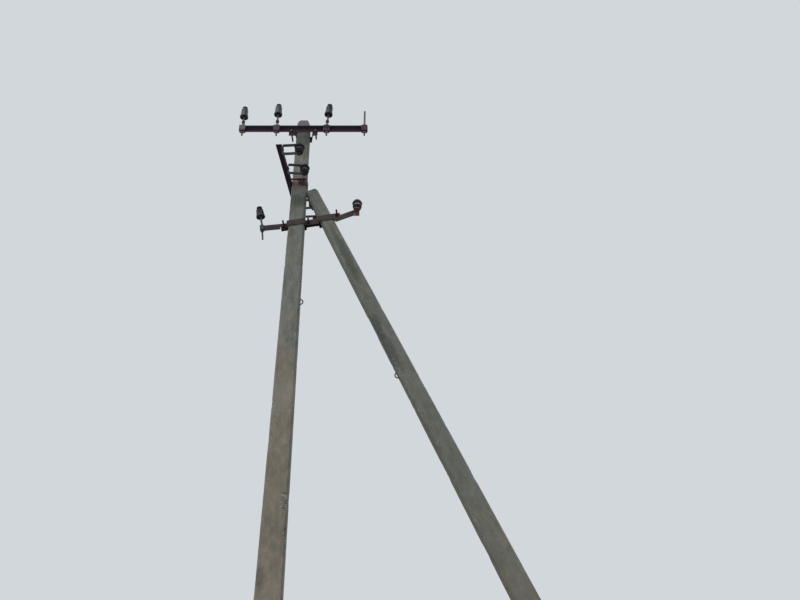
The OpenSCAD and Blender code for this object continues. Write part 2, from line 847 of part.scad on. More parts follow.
// The left bolt also holds the left arm, and the right one the extension
module bracket_bolts() {
    rear = [ear_face, ear_face, flat_t - face_y];
    front = [ear_face + left_t, ear_face, face_y + 2*flat_t];
    color([0.18, 0.15, 0.16])
        bracket_frame()
            for (i = [0:2])
                translate([bracket_bolt_x[i], rear[i] + seat, 0])
                    rotate([90, 0, 0])
                        grip_bolt(bolt_d, rear[i] + front[i] + 2*seat, bracket_thread);
}

// Frame of the left arm: the left bolt's axis where it leaves the front strap's ear, +X along the arm
module left_frame() {
    bracket_frame()
        translate([bracket_bolt_x[0], -ear_face, 0])
            rotate([0, bracket_tilt - left_tilt, 0])
                children();
}

// Angle with its corner at the front and below; at the ear only its upright leg goes on, to the bolt
module left_arm() {
    tongue = 27;
    cut = bracket_left + bracket_bolt_x[0] + 6;
    color([0.33, 0.22, 0.22])
        left_frame()
            difference() {
                translate([(tongue - left_len)/2, -left_t, left_rise - left_leg])
                    rotate([90, 0, 90])
                        translate([0, 0, -(left_len + tongue)/2])
                            linear_extrude(left_len + tongue)
                                angle_section(left_leg, left_t);
                translate([-cut, 0, -left_leg])
                    cube([cut + 2*tongue, 2*left_leg, 2*left_leg]);
                rotate([90, 0, 0])
                    cylinder(d = bolt_d + hole_clear, h = 4*left_t, center = true);
                translate([lower_pin_x, lower_pin_y, -left_leg])
                    cylinder(d = pin_tail_d + hole_clear, h = left_leg);
            }
}

// Frame of the lower pin: +Z along the pin, the origin on its saddle's top
module lower_pin_frame() {
    left_frame()
        translate([lower_pin_x, lower_pin_y, left_rise + seat + saddle_t])
            children();
}

lower_saddle_h = left_leg + 2*seat + 2*saddle_t;

// Plate bent over the left arm's end, with its open side to the back
module lower_pin_seat() {
    front = lower_pin_y + left_t + seat;
    color([0.36, 0.36, 0.38])
        lower_pin_frame()
            difference() {
                translate([-lower_seat_w/2, -front - saddle_t, -lower_saddle_h])
                    difference() {
                        cube([lower_seat_w, front + saddle_t + lower_seat_depth, lower_saddle_h]);
                        translate([-1, saddle_t, saddle_t])
                            cube([lower_seat_w + 2, front + lower_seat_depth + 1, lower_saddle_h - 2*saddle_t]);
                    }
                translate([0, 0, -2*lower_saddle_h])
                    cylinder(d = pin_tail_d + hole_clear, h = 3*lower_saddle_h);
            }
}

module lower_pin() {
    color([0.50, 0.50, 0.50])
        lower_pin_frame()
            translate([0, 0, seat])
                insulator_pin(lower_pin_rise, lower_pin_base_h, lower_saddle_h + 2*seat,
                              lower_pin_tail + washer_t + pin_tail_d*nut_high, 0, lower_pin_lean);
}

module lower_insulator() {
    color([0.20, 0.19, 0.20])
        lower_pin_frame()
            translate([0, 0, seat])
                leaning(lower_pin_lean, lower_pin_base_h)
                    translate([0, 0, lower_pin_rise - cup_socket])
                        cup_insulator(lower_cup_h);
}

// Flat bar that hangs under the bracket's right bolt by an ear over its root, and rises more steeply
module extension_arm() {
    clip = ext_w/8;
    top = ext_w/2 - ext_drop;
    low = -ext_w/2 - ext_drop;
    color([0.30, 0.18, 0.20])
        bracket_frame()
            translate([bracket_bolt_x[2], -face_y - 2*flat_t, 0])
                rotate([90, bracket_tilt - ext_tilt, 0])
                    translate([0, 0, -flat_t])
                        difference() {
                            linear_extrude(flat_t)
                                polygon(concat(
                                    arc([0, 0], ext_ear, 0, 180, 8),
                                    [[-ext_ear, top], [clip - ext_root, top], [-ext_root, top - clip],
                                     [-ext_root, low + clip], [clip - ext_root, low], [ext_len - clip, low],
                                     [ext_len, low + clip], [ext_len, top - clip], [ext_len - clip, top],
                                     [ext_ear, top]]));
                            translate([0, 0, -flat_t])
                                cylinder(d = bolt_d + hole_clear, h = 3*flat_t);
                        }
}

// Cleat on the extension's end, with a shelf that the last spool stands on
module end_cleat() {
    color([0.42, 0.24, 0.15])
        translate([cleat_x - cleat_w/2, cleat_y, cleat_z])
            difference() {
                rotate([90, 0, 90])
                    linear_extrude(cleat_w)
                        rotate(180)
                            difference() {
                                square([cleat_depth, cleat_h]);
                                translate([cleat_t, cleat_t])
                                    square([cleat_depth, cleat_h]);
                            }
                translate([cleat_w/2 + end_spool_shift, end_spool_y - cleat_y, -2*cleat_t])
                    cylinder(d = bolt_d + hole_clear, h = 3*cleat_t);
            }
}

module end_spool() {
    color([0.16, 0.14, 0.15])
        translate([end_spool_x, end_spool_y, cleat_z + seat])
            spool_insulator();
}

module end_spool_bolt() {
    color([0.18, 0.15, 0.16])
        translate([end_spool_x, end_spool_y, cleat_z + spool_h + 2*seat])
            mirror([0, 0, 1])
                grip_bolt(bolt_d, spool_h + cleat_t + 3*seat, end_thread);
}

main_pole();
strut_post();
pole_lifting_loop();
strut_lifting_loop();
top_crossarm();
top_clamp_strap();
top_clamp_bolts();
arm_pin(0);  // arm_pin_1
arm_pin(1);  // arm_pin_2
arm_pin(2);  // arm_pin_3
arm_pin(3);  // arm_pin_4
pin_saddle(0);  // pin_saddle_1
pin_saddle(1);  // pin_saddle_2
pin_saddle(2);  // pin_saddle_3
pin_saddle(3);  // pin_saddle_4
pin_insulator(0);  // pin_insulator_1
pin_insulator(1);  // pin_insulator_2
pin_insulator(2);  // pin_insulator_3
branch_arm();
branch_clamp_strap();
branch_clamp_bolts();
branch_clamp_packer();
shackle_iron(0);  // shackle_iron_1
shackle_iron(1);  // shackle_iron_2
shackle_iron(2);  // shackle_iron_3
shackle_iron(3);  // shackle_iron_4
spool(0);  // spool_1
spool(1);  // spool_2
spool(2);  // spool_3
spool(3);  // spool_4
spool_bolt(0);  // spool_bolt_1
spool_bolt(1);  // spool_bolt_2
spool_bolt(2);  // spool_bolt_3
spool_bolt(3);  // spool_bolt_4
bracket_front_bar();
bracket_rear_bar();
bracket_bolts();
left_arm();
lower_pin();
lower_pin_seat();
lower_insulator();
extension_arm();
end_cleat();
end_spool();
end_spool_bolt();
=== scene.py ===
import math

import bpy
from bpy.props import FloatProperty, FloatVectorProperty, PointerProperty
from bpy.types import NodeSocket, Operator, Panel, PropertyGroup
from mathutils import Matrix, Vector, noise


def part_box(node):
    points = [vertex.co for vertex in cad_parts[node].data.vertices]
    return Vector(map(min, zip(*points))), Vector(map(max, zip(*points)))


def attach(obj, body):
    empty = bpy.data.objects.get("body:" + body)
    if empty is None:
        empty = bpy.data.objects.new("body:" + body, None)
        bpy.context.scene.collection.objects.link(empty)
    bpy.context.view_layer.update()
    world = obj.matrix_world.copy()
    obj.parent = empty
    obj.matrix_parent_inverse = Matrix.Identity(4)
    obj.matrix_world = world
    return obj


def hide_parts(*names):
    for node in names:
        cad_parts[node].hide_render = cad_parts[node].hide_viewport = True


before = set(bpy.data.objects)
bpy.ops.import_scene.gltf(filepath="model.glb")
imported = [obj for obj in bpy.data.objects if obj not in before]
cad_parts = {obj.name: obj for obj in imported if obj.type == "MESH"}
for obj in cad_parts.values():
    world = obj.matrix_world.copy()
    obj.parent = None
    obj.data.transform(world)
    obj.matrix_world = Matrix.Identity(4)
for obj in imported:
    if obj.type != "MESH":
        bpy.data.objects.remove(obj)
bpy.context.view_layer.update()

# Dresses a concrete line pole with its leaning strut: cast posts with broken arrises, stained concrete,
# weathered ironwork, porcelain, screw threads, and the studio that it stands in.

bl_info = {
    "name": "Concrete line pole dresser",
    "version": (1, 0, 0),
    "blender": (4, 5, 0),
    "location": "3D View > Sidebar > Line pole",
    "description": "Gives a concrete line pole its cast posts, ironwork, porcelain and studio",
    "category": "Object",
}

# Sizes of the pieces that the dressing follows, in metres and degrees
POLE_H, POLE_TOP_W, POLE_FOOT_W = 7.5, 0.136, 0.257
POST_T, POST_BEVEL = 0.11, 0.012
FRONT, BACK = -POST_T/2, POST_T/2
CHIP_LEFT, CHIP_RIGHT = (0.036, 0.028), (0.026, 0.06)
STRUT_TOP_Z, STRUT_LEAN = 6.535, 24.95
STRUT_TOP_W, STRUT_FOOT_W, STRUT_END_BEVEL = 0.118, 0.244, 0.024
SEAT = 0.0003
BOLT_D = 0.016
NUT_H = 0.003 + 0.8*BOLT_D
ARM_LEG, ARM_T, ARM_TOP_Z = 0.05, 0.006, 7.378
TOP_BOLT_X, TOP_BOLT_DROP, TOP_THREAD = (-0.128, 0.133), 0.66*ARM_LEG, (0.143, 0.105)
SADDLE_T, SADDLE_GAP = 0.005, 0.012
PIN_X, PIN_Y = (-0.652, -0.283, 0.256, 0.664), FRONT - ARM_LEG/2
PIN_COLLAR_Z, PIN_COLLAR_BAND = (0.052, 0.062, 0.062), 0.024
PIN_NUT_LOW, PIN_TAIL = ARM_TOP_Z - ARM_LEG - SADDLE_GAP - SADDLE_T - NUT_H, 0.04
BRANCH_TOP_Z, BRANCH_LEG, BRANCH_TURN, BRANCH_SHIFT = 6.67, 0.06, 4.0, 0.03
BRANCH_BOLT_Y, BRANCH_BOLT_DROP, BRANCH_THREAD = 0.093, 0.028, 0.014
SPOOL_Y, SPOOL_H = (-0.571, -0.289, 0.296, 0.586), 0.1
IRON_SWING = (0.0, 9.0, 0.0, 0.0)
IRON_W, IRON_T, IRON_REACH = 0.034, 0.006, 0.168
SPOOL_THREAD, END_THREAD = 0.012, 0.038
BRACKET_Z, BRACKET_TILT = 6.122, 10.6
BRACKET_BOLT_X, BRACKET_NUT_Y, BRACKET_THREAD = (-0.128, 0.122, 0.412), (-0.0265, -0.022, -0.071), 0.069
LEFT_TILT, LEFT_LEN, LEFT_RISE, LEFT_LEG, LEFT_Y = 6.8, 0.236, 0.027, 0.039, -0.022
LOWER_PIN_INSET, LOWER_PIN_TAIL = 0.017, 0.094
SKIRT_H = 0.044

# Sizes of what the dressing adds
BASE_BOLT_W, BASE_HEAD_H, BASE_NUT_H, BASE_NUT_OUT = 0.022, 0.008, 0.01, 0.016
BASE_WASHER_R, BASE_WASHER_T, BASE_WASHER_OUT = 0.0135, 0.0025, 0.0028
BASE_SHANK_R, BASE_SHANK_LEN, BASE_SHANK_OUT = 0.006, 0.02, 0.006
CREST, THREAD_SPARE = 0.0007, 0.0015
NUT_CHAMFER, SHARP_ANGLE = 0.0012, math.radians(38)
STONE_SIZE, STONE_DENSITY = 0.0042, 26000.0
KEY_WAY, KEY_SPREAD = (0.55, 0.95, -1.25), math.radians(55)

# Parts of a post's outline along a broad face, along a narrow face and round a bevel
ACROSS, ALONG, ROUND_OFF = 14, 8, 3

# How far in from an edge the faces wear back, how far from a corner chips start to fade and end, the depth of
# the cast skin's waves, that of the dents in a post's top, and what breakage adds to them
EDGE_ZONE, CHIP_REACH, SKIN_WAVE, TOP_DENTS, BROKEN_DENTS = 0.02, (0.01, 0.034), 0.0005, 0.0012, 0.0035

# Kinds of the node groups' sockets by their labels. All others are plain numbers
SOCKETS = {"Vector": "Vector", "Centre": "Vector", "Reach": "Vector", "Fresh": "Color", "Old": "Color",
           "Tone": "Color", "Geometry": "Geometry", "Seed": "Int", "Finish": "Material"}

# Node groups of the shared effects by name, once they are built
EFFECTS = {}


def pole_half(z):
    """Half the width of the main pole's broad face at a height."""
    return (POLE_FOOT_W + (POLE_TOP_W - POLE_FOOT_W)*z/POLE_H)/2


def turn_y(degrees):
    """Turn about the Y axis in the sense that the part's sizes use."""
    return Matrix.Rotation(math.radians(degrees), 4, "Y")


def turn_z(degrees):
    """Turn about the Z axis."""
    return Matrix.Rotation(math.radians(degrees), 4, "Z")


def moved(x, y, z):
    """Move along the axes."""
    return Matrix.Translation((x, y, z))


LEAN_SINE, LEAN_COSINE = math.sin(math.radians(STRUT_LEAN)), math.cos(math.radians(STRUT_LEAN))
STRUT_RUN = STRUT_TOP_Z/LEAN_COSINE
STRUT_TOP_X = pole_half(STRUT_TOP_Z - STRUT_TOP_W/2*LEAN_SINE) + SEAT + STRUT_TOP_W/2*LEAN_COSINE
STRUT_PLACE = moved(STRUT_TOP_X, 0, STRUT_TOP_Z) @ turn_y(-STRUT_LEAN)
BRACKET_PLACE = moved(0, 0, BRACKET_Z) @ turn_y(-BRACKET_TILT)
BRANCH_FACE_X = (pole_half(BRANCH_TOP_Z - BRANCH_LEG) + SEAT
                 + (POST_T/2 - POST_BEVEL)*math.tan(math.radians(BRANCH_TURN)))
BRANCH_PLACE = moved(-BRANCH_FACE_X, 0, BRANCH_TOP_Z) @ turn_z(-BRANCH_TURN) @ moved(0, BRANCH_SHIFT, 0)


def iron_place(y, swing):
    """Place of a shackle iron on the branch arm: its base bears on the arm by one edge where it is swung."""
    clear = IRON_W/2*abs(math.sin(math.radians(swing)))
    return BRANCH_PLACE @ moved(clear, y, -BRANCH_LEG/2) @ turn_z(swing)


IRON_PLACES = [iron_place(y, swing) for y, swing in zip(SPOOL_Y, IRON_SWING)]


def swatch(name, description, *default):
    """Colour that a user can change."""
    return FloatVectorProperty(name=name, description=description, subtype="COLOR", default=default)


def number(name, description, default, **more):
    """Number that a user can change."""
    return FloatProperty(name=name, description=description, default=default, **more)


def metres(name, description, default, **limits):
    """Length that a user can change."""
    return number(name, description, default, unit="LENGTH", **limits)


class PostSettings(PropertyGroup):
    """Sizes and colours of the concrete posts."""

    row_step: metres("Row step", "Height of the mesh's rows", 0.012, min=0.006, max=0.05)
    chip_depth: metres("Chip depth", "Depth of the chips along the posts' edges", 0.007, min=0.0, max=0.012)
    grey: swatch("Grey", "Colour of the cast skin", 0.198, 0.205, 0.184)
    buff: swatch("Buff", "Colour of the weathered, sandier skin", 0.238, 0.211, 0.173)
    damp: swatch("Damp", "Colour of damp and algae streaks", 0.086, 0.092, 0.082)
    stone: swatch("Stone", "Colour of the bared aggregate", 0.25, 0.235, 0.205)


class IronSettings(PropertyGroup):
    """Colours of the steelwork."""

    maroon: swatch("Maroon", "Colour of the old primer on upright faces", 0.119, 0.053, 0.09)
    # Painted shading: the colour put on faces that look down, in place of their light and shade
    underside_shading: swatch("Soot", "Colour of the dirt on undersides", 0.051, 0.062, 0.084)
    rust: swatch("Rust", "Colour of fresh rust", 0.095, 0.046, 0.034)
    zinc: swatch("Zinc", "Colour of dull galvanising", 0.125, 0.125, 0.127)
    thread_pitch: metres("Thread pitch", "Distance between thread crests", 0.0025, min=0.0015, max=0.005)


class GlazeSettings(PropertyGroup):
    """Colours of the porcelain."""

    grey_body: swatch("Grey glaze", "Colour of the pin insulators", 0.058, 0.068, 0.08)
    brown_body: swatch("Brown glaze", "Colour of the spools", 0.008, 0.0065, 0.0082)
    dust: swatch("Dust", "Colour of dust and rubbed glaze", 0.135, 0.128, 0.145)


class StudioSettings(PropertyGroup):
    """Sizes and levels of the studio."""

    floor_radius: metres("Floor radius", "Radius of the round floor", 60.0, min=5.0)
    backdrop: swatch("Backdrop", "Colour of the backdrop", 0.64, 0.68, 0.71)
    sky_level: number("Sky level", "Strength of the light from overhead", 1.0, min=0.0)
    ground_level: number("Ground level", "Strength of the light from below", 0.22, min=0.0)
    key_level: number("Key level", "Strength of the broad key light", 1.15, min=0.0)
    eye_height: metres("Eye height", "Height of the camera", 1.6)
    distance: metres("Distance", "Distance from the camera to the pole's mid-plane", 6.15)
    side: metres("Side", "Distance of the camera to the pole's right", 0.908)
    pitch: number("Pitch", "Upward tilt of the camera", math.radians(30.684), subtype="ANGLE")
    lens: number("Lens", "Focal length for a sensor 36 mm wide", 33.975)
    shift: number("Shift", "Sideways shift of the picture", 0.01625)


# Nodes


class Nodes:
    """A node tree that is being filled. Most calls add a node and return what it puts out."""

    def __init__(self, tree):
        self.tree = tree

    def feed(self, node, **inputs):
        """Fills a node's inputs, by name or as _ with their number, from values or other nodes' outputs."""
        for key, value in inputs.items():
            socket = node.inputs[int(key[1:]) if key[0] == "_" else key.replace("_", " ")]
            if isinstance(value, NodeSocket):
                self.tree.links.new(value, socket)
            elif socket.type == "RGBA" and len(value) == 3:
                socket.default_value = (*value, 1)
            else:
                socket.default_value = value

    def put(self, kind, settings=None, **inputs):
        """Outputs of a new node with the given options and inputs."""
        made = self.tree.nodes.new(kind)
        for key, value in (settings or {}).items():
            setattr(made, key, value)
        self.feed(made, **inputs)
        return made.outputs

    def maths(self, operation, a, b=0.0, clamp=False):
        """Result of a sum on numbers or outputs."""
        return self.put("ShaderNodeMath", {"operation": operation, "use_clamp": clamp}, _0=a, _1=b)[0]

    def times(self, a, b):
        """Product."""
        return self.maths("MULTIPLY", a, b)

    def plus(self, a, b):
        """Sum."""
        return self.maths("ADD", a, b)

    def minus(self, a, b):
        """Difference."""
        return self.maths("SUBTRACT", a, b)

    def vector(self, operation, a, b=(0.0, 0.0, 0.0)):
        """Outputs of a sum on vectors."""
        return self.put("ShaderNodeVectorMath", {"operation": operation}, _0=a, _1=b)

    def parts(self, vector):
        """Parts of a vector along X, Y and Z."""
        return self.put("ShaderNodeSeparateXYZ", Vector=vector)

    def step(self, value, low, high, to_low=0.0, to_high=1.0):
        """Smooth step of a value between two limits."""
        return self.put("ShaderNodeMapRange", {"interpolation_type": "SMOOTHSTEP"}, _0=value, _1=low, _2=high,
                        _3=to_low, _4=to_high)[0]

    def cloud(self, vector, scale, detail=3.0, roughness=0.55, distortion=0.0):
        """Cloudy noise from 0 to 1."""
        return self.put("ShaderNodeTexNoise", {"noise_dimensions": "3D"}, Vector=vector, Scale=scale,
                        Detail=detail, Roughness=roughness, Distortion=distortion)[0]

    def wavy(self, value, waves, reach):
        """Value that noise moves up and down by a reach."""
        return self.plus(value, self.step(waves, 0.3, 0.7, -reach, reach))

    def mixed(self, factor, a, b, mode="MIX"):
        """Colour between a and b."""
        return self.put("ShaderNodeMix", {"data_type": "RGBA", "blend_type": mode, "clamp_factor": True},
                        _0=factor, _6=a, _7=b)[2]

    def tinted(self, tone, colour):
        """Tone multiplied by a colour."""
        return self.mixed(1.0, tone, colour, "MULTIPLY")

    def laid(self, tone, colour, mask, strength):
        """Tone with a colour laid over it where a mask is, at a strength."""
        return self.mixed(self.times(mask, strength), tone, colour)

    def graded(self, tone, factor, dark, light):
        """Tone multiplied by dark where a factor is 0, and by light where it is 1."""
        return self.mixed(factor, self.tinted(tone, dark), self.tinted(tone, light))

    def grained(self, tone, grit, dark, light):
        """Tone with half the strength of a grain from dark to light."""
        return self.mixed(0.5, tone, self.mixed(self.step(grit, 0.3, 0.7), dark, light), "MULTIPLY")

    def effect(self, name, **inputs):
        """Outputs of a shared effect."""
        return self.put("ShaderNodeGroup", {"node_tree": EFFECTS[name]}, **inputs)

    def streaks(self, vector, scale, stretch, low, high):
        """Mask of streaks that run down."""
        return self.effect("streaks", Vector=vector, Scale=scale, Stretch=stretch, Low=low, High=high)["Mask"]

    def rust(self, vector, amount, scale, fresh, old):
        """Mask, tone and height of rust."""
        return self.effect("rust", Vector=vector, Amount=amount, Scale=scale, Fresh=fresh, Old=old)

    def underside(self, vector, ragged):
        """Mask of the faces that look down."""
        return self.effect("underside", Vector=vector, Ragged=ragged)["Mask"]


class Finish(Nodes):
    """A material's nodes, with its Principled shader and the piece's own coordinates."""

    def __init__(self, name):
        self.material = bpy.data.materials.new(name)
        self.material.use_nodes = True
        super().__init__(self.material.node_tree)
        self.tree.nodes.clear()
        self.shader = self.tree.nodes.new("ShaderNodeBsdfPrincipled")
        self.put("ShaderNodeOutputMaterial", Surface=self.shader.outputs[0])
        self.here = self.put("ShaderNodeTexCoord")["Object"]

    def done(self, tone, rough, height, distance, strength=0.7, **others):
        """Feeds the shader its tone, roughness, bump and other inputs, and returns the material."""
        relief = self.put("ShaderNodeBump", Strength=strength, Distance=distance, Height=height)[0]
        self.feed(self.shader, Base_Color=tone, Roughness=rough, Normal=relief, **others)
        return self.material


def shared(name, inputs, outputs, kind="ShaderNodeTree"):
    """Node group with named sockets: its nodes, its output node, and what comes into it."""
    tree = bpy.data.node_groups.new(name, kind)
    for way, labels in (("INPUT", inputs), ("OUTPUT", outputs)):
        for label in labels.split():
            sort = SOCKETS.get(label, "Float")
            tree.interface.new_socket(name=label, in_out=way, socket_type=f"NodeSocket{sort}")
    taken = tree.nodes.new("NodeGroupInput").outputs[:len(inputs.split())]
    return Nodes(tree), tree.nodes.new("NodeGroupOutput"), taken


def streaks_group():
    """Streaks that run down a surface: noise drawn out along the height."""
    n, give, (here, scale, stretch, low, high) = shared(
        "rain_streaks", "Vector Scale Stretch Low High", "Mask")
    flat = n.put("ShaderNodeCombineXYZ", X=1.0, Y=1.0, Z=n.maths("DIVIDE", 1.0, stretch))[0]
    drawn = n.vector("MULTIPLY", here, flat)[0]
    n.feed(give, Mask=n.step(n.cloud(drawn, scale, 5.0, 0.6, 0.4), low, high))
    return n.tree


def patch_group():
    """Soft patch with a ragged edge round a centre, its axes turned about Y."""
    n, give, (here, centre, reach, turn, ragged, grain) = shared(
        "local_patch", "Vector Centre Reach Turn Ragged Grain", "Mask")
    away = n.put("ShaderNodeMapping", {"vector_type": "TEXTURE"}, Vector=here, Location=centre,
                 Rotation=n.put("ShaderNodeCombineXYZ", Y=turn)[0])[0]
    length = n.vector("LENGTH", n.vector("DIVIDE", away, reach)[0])[1]
    edge = n.times(n.minus(n.cloud(here, grain, 4.0), 0.5), n.times(ragged, 2.0))
    n.feed(give, Mask=n.step(n.plus(length, edge), 1.1, 0.45))
    return n.tree


def pores_group():
    """Air holes in a cast skin: a mask of the holes and a height for the bump."""
    n, give, (here, scale, size) = shared("air_holes", "Vector Scale Size", "Mask Height")
    away = n.put("ShaderNodeTexVoronoi", {"feature": "F1"}, Vector=here, Scale=scale)["Distance"]
    mask = n.times(n.step(away, size, 0.02), n.step(n.cloud(here, 7.0, 2.0), 0.42, 0.62))
    n.feed(give, Mask=mask, Height=n.minus(1.0, mask))
    return n.tree


def rust_group():
    """Rust in spots and sheets: where it is, its tone, and its crusty height."""
    n, give, (here, amount, scale, fresh, old) = shared(
        "rust_bloom", "Vector Amount Scale Fresh Old", "Mask Tone Height")
    broad = n.cloud(here, scale, 6.0, 0.65, 0.3)
    fine = n.cloud(here, n.times(scale, 9.0), 4.0, 0.7)
    both = n.plus(n.times(broad, 0.72), n.times(fine, 0.28))
    edge = n.minus(0.78, n.times(amount, 0.56))
    mask = n.step(n.minus(both, edge), -0.05, 0.05)
    n.feed(give, Mask=mask, Tone=n.mixed(n.step(fine, 0.38, 0.62), old, fresh), Height=n.times(mask, fine))
    return n.tree


def underside_group():
    """Mask of the faces that look down, where the materials paint light and shade."""
    n, give, (here, ragged) = shared("underside", "Vector Ragged", "Mask")
    upward = n.parts(n.put("ShaderNodeNewGeometry")["Normal"])[2]
    edge = n.times(n.minus(n.cloud(here, 40.0), 0.5), ragged)
    n.feed(give, Mask=n.step(n.plus(upward, edge), -0.25, -0.7))
    return n.tree


def build_effects():
    """Builds each shared effect once."""
    EFFECTS.update(streaks=streaks_group(), patch=patch_group(), pores=pores_group(), rust=rust_group(),
                   underside=underside_group())


# Materials


def cast_concrete(name, place, turn, half, sandy, streaked, bevel_light_and_shade, stains_and_shadows, posts):
    """Weathered cast concrete in the post's own frame. half is half its width at height 0 and the change with
    height. It is grey above the heights of sandy and buff below, and most streaked above those of streaked.
    Its left and right bevel are tinted by the pair of colours after streaked: painted light and shade.
    Stains are (centre, reach, lean, colour, strength, ragged edge); one of the pole's is a painted shadow."""
    n = Finish(name)
    own = n.put("ShaderNodeMapping", {"vector_type": "TEXTURE"}, Vector=n.here, Location=place,
                Rotation=(0.0, math.radians(turn), 0.0))[0]
    across, _, height = n.parts(own)
    drawn = n.vector("MULTIPLY", own, (1.0, 1.0, 0.5))[0]
    drift = n.times(n.minus(n.cloud(own, 2.6, 4.0, 0.6, 0.5), 0.5), 5.0)
    tone = n.mixed(n.step(n.plus(height, drift), *sandy), posts.buff, posts.grey)
    side = n.maths("DIVIDE", across, n.plus(n.times(height, half[1]), half[0]))
    # Painted light and shade on the left and right bevel
    for way, shade in zip((-1, 1), bevel_light_and_shade):
        tone = n.mixed(n.step(side, way*0.78, way*0.93), tone, n.tinted(tone, shade))
    blotch = n.cloud(drawn, 10.0, 4.0, 0.62, 0.6)
    tone = n.mixed(n.step(blotch, 0.46, 0.64, 0.0, 0.9), tone, n.tinted(tone, (0.8, 0.84, 0.8)))
    mottle = n.cloud(drawn, 26.0, 6.0, 0.7, 0.2)
    tone = n.graded(tone, n.step(mottle, 0.25, 0.75), (0.78, 0.79, 0.8), (1.2, 1.18, 1.16))
    amount = n.step(height, *streaked, 0.13, 0.62)
    tone = n.laid(tone, posts.damp, n.streaks(own, 26.0, 16.0, 0.48, 0.72), amount)
    tone = n.laid(tone, (0.33, 0.33, 0.3), n.streaks(own, 34.0, 20.0, 0.56, 0.74), 0.26)
    tone = n.laid(tone, posts.damp, n.streaks(own, 5.0, 5.0, 0.58, 0.76), 0.25)
    for centre, reach, lean, colour, strength, ragged in stains_and_shadows:
        patch = n.effect("patch", Vector=own, Centre=centre, Reach=reach, Turn=math.radians(lean),
                         Ragged=ragged, Grain=26.0)
        tone = n.laid(tone, colour, patch["Mask"], strength)
    speckle = n.cloud(own, 210.0, 2.0, 0.8)
    tone = n.grained(tone, speckle, (0.78, 0.77, 0.75), (1.22, 1.22, 1.2))
    holes = n.effect("pores", Vector=own, Scale=75.0, Size=0.17)
    # The air holes are painted near black: painted shade inside them
    tone = n.laid(tone, (0.045, 0.044, 0.038), holes["Mask"], 0.6)
    broken = n.put("ShaderNodeAttribute", {"attribute_type": "GEOMETRY", "attribute_name": "spall"})["Fac"]
    layers = n.cloud(n.vector("MULTIPLY", own, (0.6, 1.0, 1.7))[0], 62.0, 3.0, 0.7)
    raw = n.mixed(n.step(layers, 0.42, 0.6), (0.07, 0.064, 0.056),
                  n.mixed(0.5, posts.stone, (0.6, 0.57, 0.55)))
    tone = n.laid(tone, raw, broken, 0.75)
    relief = n.plus(n.times(holes["Height"], 0.8), n.plus(n.times(mottle, 0.9), n.times(speckle, 0.35)))
    return n.done(tone, n.step(mottle, 0.2, 0.8, 0.82, 0.96), relief, 0.0018, 0.8, Specular_IOR_Level=0.3)


def bared_stone(posts):
    """Aggregate that shows where the concrete has broken away."""
    n = Finish("bared_stone")
    here = n.here
    tone = n.mixed(n.step(n.cloud(here, 55.0, 2.0), 0.35, 0.65), posts.stone, (0.11, 0.105, 0.1))
    grit = n.cloud(here, 400.0, 3.0, 0.7)
    tone = n.mixed(n.step(grit, 0.3, 0.7, 0.0, 0.5), tone, (0.32, 0.3, 0.27))
    return n.done(tone, n.step(grit, 0.2, 0.8, 0.7, 0.95), grit, 0.0006)


def old_paint(name, paint, underside_shading, rust, amount, bleached, zones=()):
    """Primer that has weathered on steel: faded sheets, painted shading on undersides, rust spots and
    run-off.
    Zones are (axis, low, high, colour, strength) stretches along an axis that are tinted."""
    n = Finish(name)
    here = n.here
    fade = n.cloud(here, 9.0, 5.0, 0.6, 0.3)
    tone = n.mixed(n.step(fade, 0.35, 0.7), paint, n.mixed(bleached, paint, (0.3, 0.25, 0.26)))
    tone = n.laid(tone, n.tinted(paint, (0.45, 0.42, 0.45)), n.streaks(here, 70.0, 7.0, 0.52, 0.72), 0.45)
    parts = n.parts(here)
    for axis, low, high, colour, strength in zones:
        edge = n.wavy(parts[axis], n.cloud(here, 60.0), 0.006)
        tone = n.laid(tone, colour, n.step(edge, low, high), strength)
    # Painted shading: faces that look down take their own colour, in place of their light and shade
    tone = n.laid(tone, underside_shading, n.underside(here, 0.3), 0.9)
    bloom = n.rust(here, amount, 24.0, rust, (0.045, 0.023, 0.022))
    tone = n.laid(tone, bloom["Tone"], bloom["Mask"], 0.85)
    grit = n.cloud(here, 320.0, 3.0, 0.7)
    tone = n.grained(tone, grit, (0.72, 0.72, 0.72), (1.25, 1.25, 1.25))
    rough = n.plus(n.times(bloom["Mask"], 0.25), n.step(fade, 0.3, 0.8, 0.62, 0.74))
    relief = n.plus(n.times(bloom["Height"], 1.2), n.times(grit, 0.35))
    return n.done(tone, rough, relief, 0.0008, Specular_IOR_Level=0.12)


